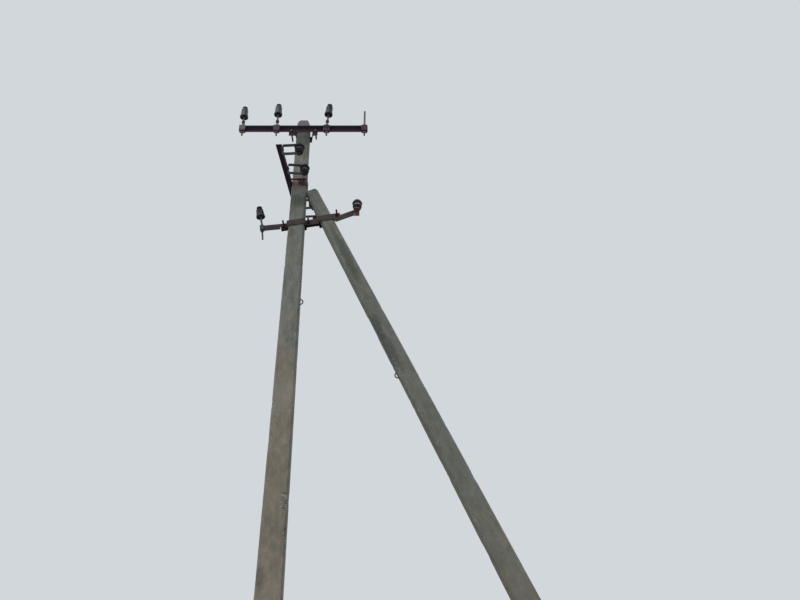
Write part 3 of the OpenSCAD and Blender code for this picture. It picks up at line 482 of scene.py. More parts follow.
def dull_zinc(name, zinc, rust, amount, bands=(), dark_side=None):
    """Galvanised steel gone dull: faint spangle, chalky stains, rust breaking through. Bands are (low, high,
    colour) stretches of its height in another tone, and dark_side is (y, colour) for what lies behind y."""
    n = Finish(name)
    here = n.here
    spangle = n.put("ShaderNodeTexVoronoi", {"feature": "F1"}, Vector=here, Scale=160.0)["Color"]
    flake = n.put("ShaderNodeSeparateColor", Color=spangle)[0]
    chalk = n.cloud(here, 30.0, 5.0, 0.65)
    tone = n.graded(zinc, n.step(flake, 0.0, 1.0), (0.85, 0.85, 0.86), (1.15, 1.15, 1.15))
    tone = n.mixed(n.step(chalk, 0.5, 0.72, 0.0, 0.5), tone, n.tinted(zinc, (1.7, 1.68, 1.6)))
    tone = n.laid(tone, n.tinted(zinc, (0.47, 0.44, 0.4)), n.streaks(here, 90.0, 6.0, 0.5, 0.75), 0.5)
    _, depth, height = n.parts(here)
    for low, high, colour in bands:
        edge = n.wavy(height, chalk, 0.003)
        inside = n.times(n.step(edge, low - 0.003, low + 0.003), n.step(edge, high + 0.003, high - 0.003))
        tone = n.mixed(inside, tone, colour)
    if dark_side:
        y, colour = dark_side
        tone = n.mixed(n.step(depth, y - 0.004, y + 0.004), tone, colour)
    bloom = n.rust(here, amount, 45.0, rust, (0.06, 0.03, 0.022))
    tone = n.laid(tone, bloom["Tone"], bloom["Mask"], 0.8)
    bright = n.times(n.minus(1.0, bloom["Mask"]), 0.2)
    rough = n.plus(n.step(chalk, 0.3, 0.8, 0.42, 0.6), n.times(bloom["Mask"], 0.3))
    relief = n.plus(bloom["Height"], n.times(flake, 0.15))
    return n.done(tone, rough, relief, 0.0005, Metallic=bright, Specular_IOR_Level=0.15)


def porcelain(name, body, dust, film, coat, skirt=None, flecks_and_glints=0.0, bands=()):
    """Glazed porcelain with dust where rain doesn't reach and painted shade on faces that look down. film is
    the share of dust and skirt the height under which its tone turns nearly black. Pale flecks, at their own
    strength, are painted highlights on the glaze and also glaze that is lost. bands are (height, half height,
    colour); the pale ones are painted highlights."""
    n = Finish(name)
    here = n.here
    pool = n.cloud(here, 18.0, 4.0, 0.6, 0.4)
    tone = n.mixed(n.step(pool, 0.35, 0.7, 0.0, 0.5), body, n.tinted(body, (0.6, 0.58, 0.58)))
    tone = n.laid(tone, (0.02, 0.018, 0.021), n.streaks(here, 80.0, 8.0, 0.5, 0.72), 0.35)
    # Pale flecks: painted highlights on the glaze, and also glaze that is lost
    tone = n.laid(tone, (0.42, 0.43, 0.44), n.streaks(here, 75.0, 2.5, 0.6, 0.68), flecks_and_glints)
    height = n.parts(here)[2]
    waves = n.cloud(here, 90.0)
    if skirt:
        below = n.step(n.wavy(height, waves, 0.002), skirt + 0.003, skirt - 0.003)
        tone = n.mixed(below, tone, (0.04, 0.031, 0.056))
    # Painted shade: the faces that look down are darkened
    tone = n.laid(tone, (0.05, 0.04, 0.07), n.underside(here, 0.2), 0.85)
    for centre, half, colour in bands:
        away = n.wavy(n.maths("ABSOLUTE", n.minus(height, centre)), waves, 0.002)
        tone = n.mixed(n.step(away, half*1.3, half*0.6), tone, colour)
    grit = n.cloud(here, 260.0, 3.0, 0.7)
    dusty = n.step(n.times(pool, grit), 0.22, 0.42, 0.0, film)
    return n.done(n.mixed(dusty, tone, dust), n.plus(n.times(dusty, 1.6), 0.32), pool, 0.0006, 0.4,
                  Specular_IOR_Level=1.4*coat, Coat_Roughness=0.15,
                  Coat_Weight=n.maths("SUBTRACT", coat, n.times(dusty, 0.9), True))


def crusted_rust(name, fresh, old, amount=0.8):
    """Steel that has rusted all over, with scale that flakes."""
    n = Finish(name)
    here = n.here
    bloom = n.rust(here, amount, 38.0, fresh, old)
    scale = n.cloud(here, 70.0, 6.0, 0.7, 0.6)
    tone = n.mixed(bloom["Mask"], n.mixed(0.5, old, (0.03, 0.026, 0.028)), bloom["Tone"])
    tone = n.mixed(n.step(scale, 0.55, 0.72, 0.0, 0.6), tone, (0.045, 0.026, 0.02))
    return n.done(tone, n.step(scale, 0.2, 0.8, 0.75, 0.95), n.plus(scale, bloom["Height"]), 0.0012,
                  Specular_IOR_Level=0.25)


# Shapes


def ring_points(width):
    """Outline of a post's section with bevelled corners."""
    half_w, half_t = width/2, POST_T/2
    flat_w, flat_t = half_w - POST_BEVEL, half_t - POST_BEVEL
    corners = [(-flat_w, -half_t), (flat_w, -half_t), (half_w, -flat_t), (half_w, flat_t),
               (flat_w, half_t), (-flat_w, half_t), (-half_w, flat_t), (-half_w, -flat_t)]
    counts = (ACROSS, ROUND_OFF, ALONG, ROUND_OFF)*2
    return [(a[0] + (b[0] - a[0])*i/count, a[1] + (b[1] - a[1])*i/count)
            for a, b, count in zip(corners, corners[1:] + corners[:1], counts) for i in range(count)]


def ramp(value, low, high):
    """Smooth step of a number."""
    t = min(1.0, max(0.0, (value - low)/(high - low)))
    return t*t*(3 - 2*t)


def corner_nearness(x, y, width):
    """1 on a corner's bevel, falling to 0 some way along each face."""
    away = math.hypot(max(0.0, width/2 - abs(x)), max(0.0, POST_T/2 - abs(y)))
    return 1 - ramp(away, *CHIP_REACH)


def worn_in(point, x, y, width, depth, seed, scars):
    """How far the concrete has broken back at a point, and how raw it is there: chips and fine wear near the
    corners, and scars of (centre, reach, depth)."""
    near = corner_nearness(x, y, width)
    long_way = Vector((x*9 + seed, y*9, point.z*5.5))
    chips = ramp(noise.noise(long_way), 0.3, 0.62)*(0.55 + 0.45*noise.noise(point*60))
    fine = ramp(noise.noise(Vector((x*30, y*30 + seed, point.z*26))), 0.34, 0.75)
    back = near*depth*(chips + 0.35*fine)
    raw = min(1.0, near*(chips + 0.6*fine)*1.4)
    for centre, reach, scar_depth in scars:
        away = math.sqrt(sum(((a - b)/r)**2 for a, b, r in zip((x, y, point.z), centre, reach)))
        hit = 1 - ramp(away + 0.5*noise.noise(point*38), 0.55, 1.05)
        back += hit*scar_depth*(0.6 + 0.8*noise.noise(point*95 + Vector((seed, 0, 0))))
        raw = max(raw, hit*0.95)
    return max(0.0, back), raw


def cast_post(name, top_w, foot_w, run, low, high, posts, seed, scars):
    """Post in its own frame, closed at both ends. low and high give the ends' heights across its width."""
    rows = math.ceil(run/posts.row_step)
    outline = len(ring_points(top_w))
    points, raws, faces = [], [], []
    for row in range(rows + 1):
        t = row/rows
        width = foot_w + (top_w - foot_w)*t
        for x, y in ring_points(width):
            bottom, top = low(x), high(x)
            z = bottom + (top - bottom)*t
            point = Vector((x, y, z))
            back, raw = worn_in(point, x, y, width, posts.chip_depth, seed, scars) if row else (0.0, 0.0)
            inward = Vector((-x if abs(x) > width/2 - EDGE_ZONE else 0,
                             -y if abs(y) > POST_T/2 - EDGE_ZONE else 0, 0)).normalized()
            wave = SKIN_WAVE*noise.noise(Vector((x*14, y*14, z*9 + seed)))
            points.append(point + inward*(back + max(0.0, wave)))
            raws.append(raw)
    base = rows*outline
    for start in range(0, base, outline):
        for i in range(outline):
            j = (i + 1) % outline
            faces.append((start + i, start + j, start + outline + j, start + outline + i))
    faces.append(tuple(range(outline - 1, -1, -1)))
    # The top is a grid between the front's points and the back's, rough where its corners have broken off
    unbroken = max(high(k*0.01) for k in range(-6, 7))
    turn = ACROSS + ROUND_OFF
    front = [*range(outline - ROUND_OFF, outline), *range(turn + 1)]
    far = [(turn + ALONG + k) % outline for k in range(len(front))][::-1]
    left = [outline - ROUND_OFF - m for m in range(1, ALONG)]
    right = [turn + m for m in range(1, ALONG)]
    grid = []
    for near, back in zip(front, far):
        if near == front[0]:
            between = [base + k for k in left]
        elif near == front[-1]:
            between = [base + k for k in right]
        else:
            between = []
            for m in range(1, ALONG):
                spot = points[base + near].lerp(points[base + back], m/ALONG)
                rough = ramp(unbroken - high(spot.x), 0.002, 0.012)
                bumps = abs(noise.noise(Vector((spot.x*90, spot.y*90, seed))))
                between.append(len(points))
                dip = (BROKEN_DENTS*rough + TOP_DENTS)*bumps
                points.append(Vector((spot.x, spot.y, spot.z - dip)))
                raws.append(min(1.0, 0.25 + 0.75*rough))
        grid.append([base + near, *between, base + back])
    for one, other in zip(grid, grid[1:]):
        faces += [(one[m], other[m], other[m + 1], one[m + 1]) for m in range(ALONG)]
    mesh = bpy.data.meshes.new(name)
    mesh.from_pydata(points, [], faces)
    mesh.attributes.new("spall", "FLOAT", "POINT").data.foreach_set("value", raws)
    mesh.validate()
    return mesh


def broken_top(x, top_w, z, chips):
    """Height of a top whose corners have broken off. Chips are (width, height) at the left and the right."""
    for side, (wide, tall) in zip((-1, 1), chips):
        over = side*x - (top_w/2 - wide)
        if wide and over > 0:
            return z - tall*over/wide
    return z


def linked(name, data):
    """New object in the scene."""
    made = bpy.data.objects.new(name, data)
    bpy.context.scene.collection.objects.link(made)
    return made


def finished(name, mesh, material, slot, *replaced):
    """Object of a mesh, with its material, that rides and stands for what it replaces. slot is not used."""
    mesh.materials.clear()
    mesh.materials.append(material)
    mesh.polygons.foreach_set("use_smooth", [True]*len(mesh.polygons))
    mesh.set_sharp_from_angle(angle=SHARP_ANGLE)
    made = linked(name, mesh)
    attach(made, "root")
    if replaced:
        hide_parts(*replaced)
    return made


def circle(radius, z, sides):
    """Points of a level circle."""
    return [Vector((radius*math.cos(2*math.pi*k/sides), radius*math.sin(2*math.pi*k/sides), z))
            for k in range(sides)]


def stack(place, rings, sides):
    """Points and faces of a block through rings of (radius, height), closed at both ends, on its place."""
    points = [place @ point for radius, z in rings for point in circle(radius, z, sides)]
    top = len(points) - sides
    faces = [tuple(range(sides - 1, -1, -1)), tuple(range(top, top + sides))]
    for ring in range(0, top, sides):
        for k in range(sides):
            after = (k + 1) % sides
            faces.append((ring + k, ring + after, ring + sides + after, ring + sides + k))
    return points, faces


def hexagon(place, width, height):
    """Points and faces of a hexagonal nut or head with chamfered ends."""
    narrow, rise = width/2 - NUT_CHAMFER, NUT_CHAMFER*0.7
    return stack(place, [(narrow, 0.0), (width/2, rise), (width/2, height - rise), (narrow, height)], 6)


def gathered(name, shapes):
    """One mesh from several lists of points and faces."""
    points, faces = [], []
    for some, their in shapes:
        faces += [tuple(k + len(points) for k in face) for face in their]
        points += some
    mesh = bpy.data.meshes.new(name)
    mesh.from_pydata(points, [], faces)
    return mesh


# Geometry trees


def set_out(n, give, points, instance, finish, **how):
    """Ends a tree: an instance on each point, made real and given its finish."""
    copies = n.put("GeometryNodeInstanceOnPoints", Points=points, Instance=instance, **how)[0]
    real = n.put("GeometryNodeRealizeInstances", Geometry=copies)[0]
    n.feed(give, Geometry=n.put("GeometryNodeSetMaterial", Geometry=real, Material=finish)[0])
    return n.tree


def thread_tree():
    """Thread crests: rings set along each line, square to it."""
    n, give, (bolt_lines, pitch, radius, height, finish) = shared(
        "thread_crests", "Geometry Pitch Radius Crest Finish", "Geometry", "GeometryNodeTree")
    lines = n.put("GeometryNodeMeshToCurve", Mesh=bolt_lines)[0]
    spaced = n.put("GeometryNodeResampleCurve", {"mode": "LENGTH"}, Curve=lines, Length=pitch)[0]
    loop = n.put("GeometryNodeCurvePrimitiveCircle", Resolution=20, Radius=radius)[0]
    wedge = n.put("GeometryNodeCurvePrimitiveCircle", Resolution=4, Radius=height)[0]
    crest = n.put("GeometryNodeCurveToMesh", Curve=loop, Profile_Curve=wedge)[0]
    along = n.put("GeometryNodeInputTangent")[0]
    square = n.put("FunctionNodeAlignRotationToVector", {"axis": "Z"}, Vector=along)[0]
    return set_out(n, give, spaced, crest, finish, Rotation=square)


def stone_tree():
    """Stones half sunk in a surface where its "spall" attribute is high."""
    n, give, (surface, density, size, seed, finish) = shared(
        "bared_stones", "Geometry Density Size Seed Finish", "Geometry", "GeometryNodeTree")
    raw = n.put("GeometryNodeInputNamedAttribute", {"data_type": "FLOAT"}, Name="spall")[0]
    where = n.put("ShaderNodeMapRange", _0=raw, _1=0.72, _2=1.0)[0]
    spots = n.put("GeometryNodeDistributePointsOnFaces", {"distribute_method": "POISSON"}, Mesh=surface,
                  Distance_Min=size, Density_Max=density, Density_Factor=where, Seed=seed)[0]
    pebble = n.put("GeometryNodeMeshIcoSphere", Radius=size, Subdivisions=2)[0]
    shape, turn = (
        n.put("FunctionNodeRandomValue", {"data_type": "FLOAT_VECTOR"}, _0=least, _1=most, Seed=seed)[0]
        for least, most in (((0.28, 0.28, 0.22), (0.75, 0.62, 0.45)), ((0.0, 0.0, 0.0), (6.28, 6.28, 6.28))))
    return set_out(n, give, spots, pebble, finish, Scale=shape, Rotation=turn)


def baked(source_mesh, tree, **values):
    """Plain mesh that a tree makes from a mesh."""
    holder = bpy.data.objects.new("holder", source_mesh)
    modifier = holder.modifiers.new("maker", "NODES")
    modifier.node_group = tree
    for item in tree.interface.items_tree:
        if item.in_out == "INPUT" and item.name in values:
            modifier[item.identifier] = values[item.name]
    bpy.context.scene.collection.objects.link(holder)
    bpy.context.view_layer.update()
    graph = bpy.context.evaluated_depsgraph_get()
    mesh = bpy.data.meshes.new_from_object(holder.evaluated_get(graph))
    holder.modifiers.remove(modifier)
    bpy.data.objects.remove(holder)
    if not mesh.polygons:
        raise RuntimeError(f"{tree.name} made nothing")
    return mesh


def dress(material, *nodes):
    """Gives nodes of the fixed frame a material."""
    for name in nodes:
        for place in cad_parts[name].material_slots:
            place.material = material


# Operators


def seen_rays(n):
    """1 for what the camera, a gloss or glass sees, and 0 for what lights the pole."""
    rays = n.put("ShaderNodeLightPath")
    return n.maths("MAXIMUM", rays["Is Camera Ray"],
                   n.maths("MAXIMUM", rays["Is Glossy Ray"], rays["Is Transmission Ray"]))


class LINEPOLE_OT_studio(Operator):
    """Make the camera, the pale floor and backdrop, and the soft light."""

    bl_idname = "line_pole.studio"
    bl_label = "Studio"

    def execute(self, context):
        scene = context.scene
        studio = scene.pole_studio
        camera = linked("camera", bpy.data.cameras.new("camera"))
        camera.data.lens = studio.lens
        camera.data.sensor_width = 36.0
        camera.data.shift_x = studio.shift
        camera.data.clip_end = 300.0
        camera.location = (studio.side, -studio.distance, studio.eye_height)
        camera.rotation_euler = (math.pi/2 + studio.pitch, 0, 0)
        scene.camera = camera
        scene.view_settings.view_transform = "Standard"

        world = bpy.data.worlds.new("studio")
        scene.world = world
        world.use_nodes = True
        n = Nodes(world.node_tree)
        n.tree.nodes.clear()
        upward = n.parts(n.put("ShaderNodeTexCoord")["Generated"])[2]
        light = n.step(upward, -0.25, 0.75, studio.ground_level, studio.sky_level)
        plain = n.put("ShaderNodeBackground", Color=studio.backdrop, Strength=1.0)[0]
        lit = n.put("ShaderNodeBackground", Color=(0.97, 0.99, 1.0), Strength=light)[0]
        surface = n.put("ShaderNodeMixShader", _0=seen_rays(n), _1=lit, _2=plain)[0]
        n.put("ShaderNodeOutputWorld", Surface=surface)

        key = linked("key", bpy.data.lights.new("key", "SUN"))
        key.data.energy = studio.key_level
        key.data.angle = KEY_SPREAD
        key.rotation_euler = Vector(KEY_WAY).to_track_quat("-Z", "Y").to_euler()

        edge = circle(studio.floor_radius, 0.0, 96)
        mesh = bpy.data.meshes.new("floor")
        mesh.from_pydata(edge, [], [tuple(range(len(edge)))])
        n = Finish("pale_floor")
        shade = n.mixed(seen_rays(n), (0.2, 0.2, 0.195), studio.backdrop)
        n.feed(n.shader, Base_Color=shade, Roughness=0.95, Specular_IOR_Level=0.1)
        mesh.materials.append(n.material)
        floor = linked("floor", mesh)
        return {"FINISHED"}


class LINEPOLE_OT_posts(Operator):
    """Cast both concrete posts, with broken arrises, raw patches and bared stones."""

    bl_idname = "line_pole.posts"
    bl_label = "Concrete posts"

    def execute(self, context):
        posts = context.scene.pole_posts
        green, grey_green, brown = (0.04, 0.068, 0.056), (0.062, 0.072, 0.066), (0.1, 0.068, 0.045)
        damp, washed, rosy = posts.damp, (0.31, 0.29, 0.255), (0.195, 0.15, 0.135)
        pole_stains_and_shadow = [
            ((0.041, FRONT, 7.257), (0.03, 0.05, 0.02), 0, green, 0.8, 0.5),
            ((0.0, FRONT, 7.5), (0.15, 0.1, 0.09), 0, (0.165, 0.173, 0.192), 0.7, 0.4),
            # Painted shadow of the crossarm on the pole's face under it
            ((0.0, FRONT, 7.23), (0.11, 0.1, 0.12), 0, grey_green, 0.6, 0.4),
            ((0.045, FRONT, 7.07), (0.028, 0.08, 0.17), 0, grey_green, 0.35, 0.4),
            ((-0.02, FRONT, 6.61), (0.07, 0.08, 0.11), 0, rosy, 0.85, 0.5),
            ((0.0, FRONT, 6.4), (0.12, 0.1, 0.11), 0, grey_green, 0.55, 0.5),
            ((-0.045, FRONT, 5.99), (0.045, 0.08, 0.07), 0, (0.098, 0.086, 0.045), 0.5, 0.7),
            ((0.01, FRONT, 5.486), (0.009, 0.05, 0.21), -25.2, damp, 0.35, 0.1),
            ((0.06, FRONT, 4.99), (0.05, 0.08, 0.13), 0, damp, 0.15, 0.5),
            ((0.0, FRONT, 4.25), (0.2, 0.1, 0.19), 0, washed, 0.3, 0.5),
            ((0.03, FRONT, 2.98), (0.09, 0.1, 0.24), 0, damp, 0.1, 0.6),
            ((-0.078, FRONT, 2.72), (0.04, 0.08, 0.13), 0, (0.078, 0.074, 0.058), 0.45, 0.7),
            ((0.084, FRONT, 3.05), (0.035, 0.08, 0.2), 0, damp, 0.25, 0.9),
            ((0.0, BACK, 1.2), (0.12, 0.2, 0.9), 0, damp, 0.3, 0.9),
        ]
        strut_stains = [
            ((0.004, FRONT, -0.86), (0.048, 0.06, 0.38), 0, (0.066, 0.078, 0.078), 0.62, 0.55),
            ((-0.022, FRONT, -1.08), (0.04, 0.06, 0.16), 0, grey_green, 0.45, 0.7),
            ((0.0, FRONT, -4.3), (0.4, 0.3, 3.8), 0, damp, 0.28, 0.2),
            ((0.0, FRONT, -1.5), (0.2, 0.2, 1.0), 0, damp, 0.16, 0.3),
            ((-0.05, FRONT, -2.02), (0.06, 0.06, 0.26), 0, (0.066, 0.07, 0.068), 0.6, 0.7),
            ((-0.05, FRONT, -1.74), (0.045, 0.06, 0.15), 0, grey_green, 0.6, 0.8),
            ((-0.08, FRONT, -2.9), (0.03, 0.06, 0.5), 0, brown, 0.25, 0.9),
            ((-0.09, FRONT, -4.1), (0.03, 0.06, 0.6), 0, brown, 0.2, 0.9),
            ((0.0, BACK, -5.8), (0.12, 0.2, 0.9), 0, damp, 0.3, 0.9),
        ]
        pole_scars = [((0.082, FRONT, 3.33), (0.042, 0.03, 0.12), 0.006),
                      ((0.095, -0.052, 3.06), (0.018, 0.02, 0.07), 0.004),
                      ((0.1, FRONT, 4.12), (0.014, 0.02, 0.035), 0.006)]
        strut_scars = [((-0.118, -0.052, -4.55), (0.02, 0.02, 0.06), 0.005),
                       ((-0.066, -0.052, -2.235), (0.024, 0.024, 0.055), 0.007),
                       ((-0.078, -0.052, -2.43), (0.014, 0.02, 0.035), 0.005)]
        # The pair of tints after the streaked heights is painted light and shade on the left and right bevel
        pole_skin = cast_concrete(
            "pole_concrete", (0.0, 0.0, 0.0), 0.0, (POLE_FOOT_W/2, (POLE_TOP_W - POLE_FOOT_W)/2/POLE_H),
            (3.9, 5.2), (5.9, 6.4), ((1.03, 1.05, 1.1), (0.84, 0.86, 0.9)), pole_stains_and_shadow, posts)
        strut_skin = cast_concrete(
            "strut_concrete", (STRUT_TOP_X, 0.0, STRUT_TOP_Z), -STRUT_LEAN,
            (STRUT_TOP_W/2, (STRUT_TOP_W - STRUT_FOOT_W)/2/STRUT_RUN), (-6.0, -2.6), (-1.1, -0.3),
            ((1.2, 1.18, 1.16), (1.05, 1.08, 1.14)), strut_stains, posts)
        pole = cast_post(
            "main_pole_cast", POLE_TOP_W, POLE_FOOT_W, POLE_H, lambda x: 0.0,
            lambda x: broken_top(x, POLE_TOP_W, POLE_H, (CHIP_LEFT, CHIP_RIGHT)), posts, 3.7, pole_scars)
        bevel = (STRUT_END_BEVEL, STRUT_END_BEVEL)
        strut = cast_post(
            "strut_post_cast", STRUT_TOP_W, STRUT_FOOT_W, STRUT_RUN,
            lambda x: -(STRUT_TOP_Z + x*LEAN_SINE)/LEAN_COSINE,
            lambda x: broken_top(x, STRUT_TOP_W, 0.0, ((0.0, 0.0), bevel)), posts, 11.3, strut_scars)
        tree = stone_tree()
        pebbles = bared_stone(posts)
        strut.transform(STRUT_PLACE)
        for mesh, skin, node, seed in (
                (pole, pole_skin, "main_pole", 5), (strut, strut_skin, "strut_post", 9)):
            made = finished(mesh.name, mesh, skin, "concrete", node)
            stones = baked(made.data, tree, Density=STONE_DENSITY, Size=STONE_SIZE, Seed=seed, Finish=pebbles)
            finished(f"{node}_stones", stones, pebbles, "concrete")
        return {"FINISHED"}


class LINEPOLE_OT_steelwork(Operator):
    """Finish the arms, straps, irons and loops with old primer, dirt, rust and painted shading on undersides.
    """

    bl_idname = "line_pole.steelwork"
    bl_label = "Steelwork"

    def execute(self, context):
        iron = context.scene.pole_iron
        ear = (0, -0.075, -0.095, (0.072, 0.018, 0.026), 0.9)
        near_end = (1, -0.52, -0.56, (0.021, 0.024, 0.025), 0.85)
        right_end = (0, 0.055, 0.075, (0.06, 0.058, 0.042), 0.75)
        irons = [f"shackle_iron_{k}" for k in range(1, 5)]
        for name, paint, underside_shading, amount, bleached, zones, nodes in (
                ("crossarm_primer", iron.maroon, iron.underside_shading, 0.22, 0.08, [], ["top_crossarm"]),
                ("branch_primer", (0.043, 0.0105, 0.032), (0.023, 0.0105, 0.019), 0.28, 0.08, [near_end],
                 ["branch_arm"]),
                ("clamp_primer", (0.05, 0.03, 0.038), (0.028, 0.024, 0.03), 0.34, 0.14, [right_end],
                 ["top_clamp_strap"]),
                ("branch_strap_primer", (0.088, 0.044, 0.06), (0.062, 0.034, 0.044), 0.34, 0.25, [],
                 ["branch_clamp_strap"]),
                ("bracket_primer", (0.062, 0.044, 0.047), (0.022, 0.0175, 0.02), 0.34, 0.16, [ear],
                 ["bracket_front_bar", "extension_arm"]),
                # The rear bar's primer is a darker copy of the front's: painted shade between the posts
                ("bracket_rear_primer", (0.026, 0.018, 0.021), (0.014, 0.0125, 0.015), 0.34, 0.12, [],
                 ["bracket_rear_bar"]),
                ("left_arm_primer", (0.046, 0.032, 0.04), (0.19, 0.13, 0.16), 0.24, 0.14, [],
                 ["left_arm"]),
                ("shackle_black", (0.095, 0.1, 0.114), (0.135, 0.141, 0.164), 0.2, 0.1, [], irons)):
            dress(old_paint(name, paint, underside_shading, iron.rust, amount, bleached, zones), *nodes)
        dress(crusted_rust("cleat_rust", (0.3, 0.19, 0.15), (0.195, 0.148, 0.142)), "end_cleat")
        dress(crusted_rust("packer_rust", (0.24, 0.14, 0.128), (0.165, 0.11, 0.115)),
              "branch_clamp_packer")
        dress(crusted_rust("brown_rust", (0.105, 0.056, 0.036), (0.05, 0.032, 0.028)), "pole_lifting_loop",
              "strut_lifting_loop")
        return {"FINISHED"}


class LINEPOLE_OT_pins(Operator):
    """Finish the pins and the saddles that hold them."""

    bl_idname = "line_pole.pins"
    bl_label = "Pins and saddles"

    def execute(self, context):
        iron = context.scene.pole_iron
        nut = (PIN_NUT_LOW, PIN_NUT_LOW + NUT_H, (0.3, 0.29, 0.29))
        collars = [ARM_TOP_Z + SADDLE_T + z for z in PIN_COLLAR_Z]
        for k in range(4):
            bands = [nut] + [(z, z + PIN_COLLAR_BAND, (0.026, 0.029, 0.027)) for z in collars[k:k + 1]]
            dress(dull_zinc(f"pin_zinc_{k + 1}", iron.zinc, iron.rust, 0.22, bands), f"arm_pin_{k + 1}")
        foot = (ARM_TOP_Z - 0.1, ARM_TOP_Z - ARM_LEG, (0.08, 0.042, 0.06))
        for k, tone in enumerate(((0.108, 0.104, 0.101), (0.052, 0.049, 0.051), (0.01, 0.009, 0.012)), 1):
            dress(dull_zinc(f"saddle_zinc_{k}", tone, iron.rust, 0.3, [foot]), f"pin_saddle_{k}")
        dress(old_paint("saddle_primer", (0.07, 0.029, 0.052), (0.045, 0.024, 0.032), iron.rust, 0.26, 0.16),
              "pin_saddle_4")
        dress(dull_zinc("lower_pin_zinc", iron.zinc, iron.rust, 0.26), "lower_pin")
        dress(dull_zinc("seat_zinc", (0.052, 0.06, 0.06), iron.rust, 0.24), "lower_pin_seat")
        return {"FINISHED"}


class LINEPOLE_OT_porcelain(Operator):
    """Glaze the pin insulators and the spools."""

    bl_idname = "line_pole.porcelain"
    bl_label = "Porcelain"

    def execute(self, context):
        glaze = context.scene.pole_glaze
        for node, shade, film, coat, flecks_and_glints in (
                ("pin_insulator_1", 0.75, 0.08, 0.15, 0.75), ("pin_insulator_2", 0.8, 0.08, 0.14, 0.15),
                ("pin_insulator_3", 0.22, 0.06, 0.11, 0.55), ("lower_insulator", 0.12, 0.1, 0.06, 0.45)):
            body = [shade*part for part in glaze.grey_body]
            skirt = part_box(node)[0].z + SKIRT_H
            dress(porcelain(f"{node}_glaze", body, glaze.dust, film, coat, skirt, flecks_and_glints), node)
        middle = BRANCH_TOP_Z - BRANCH_LEG/2
        # The second band is a painted highlight round each spool's middle
        rims = [(middle - 0.034, 0.018, (0.03, 0.02, 0.025)), (middle - 0.004, 0.012, (0.21, 0.2, 0.24))]
        dress(porcelain("brown_porcelain", glaze.brown_body, glaze.dust, 0.03, 0.05, bands=rims),
              *(f"spool_{k}" for k in range(1, 5)))
        middle = sum(corner.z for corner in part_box("end_spool"))/2
        # Pale band: a painted highlight round the end spool's middle
        rim = [(middle - 0.001, 0.013, (0.37, 0.36, 0.44))]
        dress(porcelain("end_spool_porcelain", glaze.brown_body, glaze.dust, 0.06, 0.08, bands=rim),
              "end_spool")
        return {"FINISHED"}


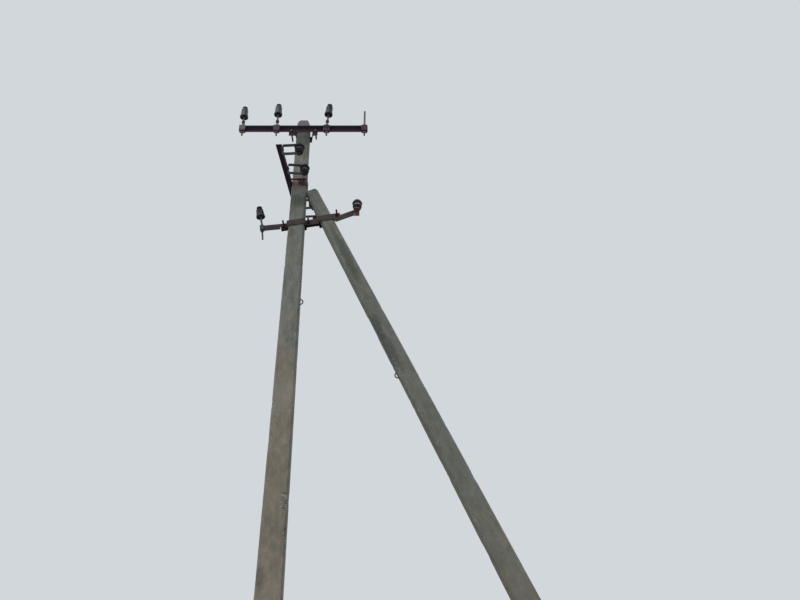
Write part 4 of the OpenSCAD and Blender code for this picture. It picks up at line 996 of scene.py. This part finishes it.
class LINEPOLE_OT_fasteners(Operator):
    """Finish the bolts, cut their threads, and bolt the shackle irons to the branch arm."""

    bl_idname = "line_pole.fasteners"
    bl_label = "Bolts and threads"

    def execute(self, context):
        iron = context.scene.pole_iron
        greasy = crusted_rust("bolt_rust", (0.062, 0.034, 0.026), (0.03, 0.021, 0.021), 0.55)
        dress(dull_zinc("clamp_bolt_zinc", (0.17, 0.17, 0.16), iron.rust, 0.3,
                        dark_side=(-0.05, (0.04, 0.024, 0.027))), "top_clamp_bolts")
        dress(greasy, "branch_clamp_bolts", "bracket_bolts", *(f"spool_bolt_{k}" for k in range(1, 5)))
        orange = crusted_rust("hanging_bolt_rust", (0.17, 0.066, 0.028), (0.075, 0.034, 0.022))
        dress(orange, "end_spool_bolt")
        self.base_bolts(greasy)
        self.threads(iron, greasy, orange)
        return {"FINISHED"}

    def base_bolts(self, material):
        """Bolt through the middle of each shackle iron's base and the branch arm."""
        shapes = []
        for place in IRON_PLACES:
            outward = place @ turn_y(90)
            nut = outward @ moved(0, 0, -ARM_T - BASE_NUT_OUT)
            washer = outward @ moved(0, 0, -ARM_T - BASE_WASHER_OUT)
            shapes += [hexagon(outward @ moved(0, 0, IRON_T), BASE_BOLT_W, BASE_HEAD_H),
                       stack(washer, [(BASE_WASHER_R, 0.0), (BASE_WASHER_R, BASE_WASHER_T)], 32),
                       hexagon(nut, BASE_BOLT_W, BASE_NUT_H),
                       stack(nut @ moved(0, 0, -BASE_SHANK_OUT),
                             [(BASE_SHANK_R, 0.0), (BASE_SHANK_R, BASE_SHANK_LEN)], 20)]
        name = "iron_base_bolts"
        finished(name, gathered(name, shapes), material, "dark_steel")

    def threads(self, iron, greasy, orange):
        """Thread crests along every bolt's and pin's tail, given by its start and its way."""
        behind_arm = FRONT + ARM_T + SEAT*2 + NUT_H
        branch_bolt_z = BRANCH_TOP_Z - BRANCH_BOLT_DROP
        branch_bolt_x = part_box("branch_clamp_bolts")[1].x - BRANCH_THREAD
        under_iron = Vector((IRON_REACH, 0, -SPOOL_H/2 - IRON_T - NUT_H))
        left = (BRACKET_PLACE @ moved(BRACKET_BOLT_X[0], LEFT_Y, 0) @ turn_y(BRACKET_TILT - LEFT_TILT)
                @ moved(LOWER_PIN_INSET - LEFT_LEN, LEFT_LEG/2, LEFT_RISE + SEAT + SADDLE_T))
        under_left = left @ Vector((0, 0, -LEFT_LEG - 2*SADDLE_T - 3*SEAT - NUT_H))
        low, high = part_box("end_spool_bolt")
        end_start = Vector(((low.x + high.x)/2, (low.y + high.y)/2, low.z + END_THREAD))
        down = Vector((0, 0, -1))
        zinc = dull_zinc("thread_zinc", (0.11, 0.11, 0.112), iron.rust, 0.35)
        tree = thread_tree()
        for name, finish, slot, tails in (
                ("top_clamp_threads", greasy, "dark_steel",
                 [(Vector((x, behind_arm, ARM_TOP_Z - TOP_BOLT_DROP)), Vector((0, tail, 0)))
                  for x, tail in zip(TOP_BOLT_X, TOP_THREAD)]),
                ("branch_clamp_threads", greasy, "dark_steel",
                 [(Vector((branch_bolt_x, y, branch_bolt_z)), Vector((BRANCH_THREAD, 0, 0)))
                  for y in (-BRANCH_BOLT_Y, BRANCH_BOLT_Y)]),
                ("spool_bolt_threads", greasy, "dark_steel",
                 [(place @ under_iron, down*SPOOL_THREAD) for place in IRON_PLACES]),
                ("bracket_threads", greasy, "dark_steel",
                 [(BRACKET_PLACE @ Vector((x, front - SEAT - NUT_H, 0)), Vector((0, -BRACKET_THREAD, 0)))
                  for x, front in zip(BRACKET_BOLT_X, BRACKET_NUT_Y)]),
                ("pin_threads", zinc, "galvanised_steel",
                 [(Vector((x, PIN_Y, PIN_NUT_LOW)), down*PIN_TAIL) for x in PIN_X]
                 + [(under_left, left.to_3x3() @ down*LOWER_PIN_TAIL)]),
                ("end_bolt_threads", orange, "rusty_steel", [(end_start, down*END_THREAD)])):
            points = []
            for start, way in tails:
                spare = way.normalized()*THREAD_SPARE
                points += [start + spare, start + way - spare]
            mesh = bpy.data.meshes.new(name)
            mesh.from_pydata(points, [(k, k + 1) for k in range(0, len(points), 2)], [])
            crests = baked(mesh, tree, Pitch=iron.thread_pitch, Radius=BOLT_D/2, Crest=CREST, Finish=finish)
            finished(name, crests, finish, slot)


class LINEPOLE_PT_panel(Panel):
    """Lists the pieces that can be made."""

    bl_label = "Concrete line pole"
    bl_idname = "LINEPOLE_PT_panel"
    bl_space_type = "VIEW_3D"
    bl_region_type = "UI"
    bl_category = "Line pole"

    def draw(self, context):
        for settings in SETTINGS:
            group = getattr(context.scene, settings)
            box = self.layout.box()
            for key in group.bl_rna.properties.keys():
                if key not in {"rna_type", "name"}:
                    box.prop(group, key)
        for operator in OPERATORS:
            self.layout.operator(operator.bl_idname)


SETTINGS = {"pole_studio": StudioSettings, "pole_posts": PostSettings, "pole_iron": IronSettings,
            "pole_glaze": GlazeSettings}
OPERATORS = (LINEPOLE_OT_studio, LINEPOLE_OT_posts, LINEPOLE_OT_steelwork, LINEPOLE_OT_pins,
             LINEPOLE_OT_porcelain, LINEPOLE_OT_fasteners)


def register():
    """Registers the settings, operators and panel."""
    for cls in (*SETTINGS.values(), *OPERATORS, LINEPOLE_PT_panel):
        bpy.utils.register_class(cls)
    for name, cls in SETTINGS.items():
        setattr(bpy.types.Scene, name, PointerProperty(type=cls))


def unregister():
    """Takes them off again."""
    for name in SETTINGS:
        delattr(bpy.types.Scene, name)
    for cls in (LINEPOLE_PT_panel, *reversed(OPERATORS), *reversed(SETTINGS.values())):
        bpy.utils.unregister_class(cls)


def main():
    register()
    build_effects()
    bpy.ops.line_pole.studio()
    bpy.ops.line_pole.posts()
    bpy.ops.line_pole.steelwork()
    bpy.ops.line_pole.pins()
    bpy.ops.line_pole.porcelain()
    bpy.ops.line_pole.fasteners()
    bpy.context.view_layer.update()


if __name__ == "__main__":
    main()
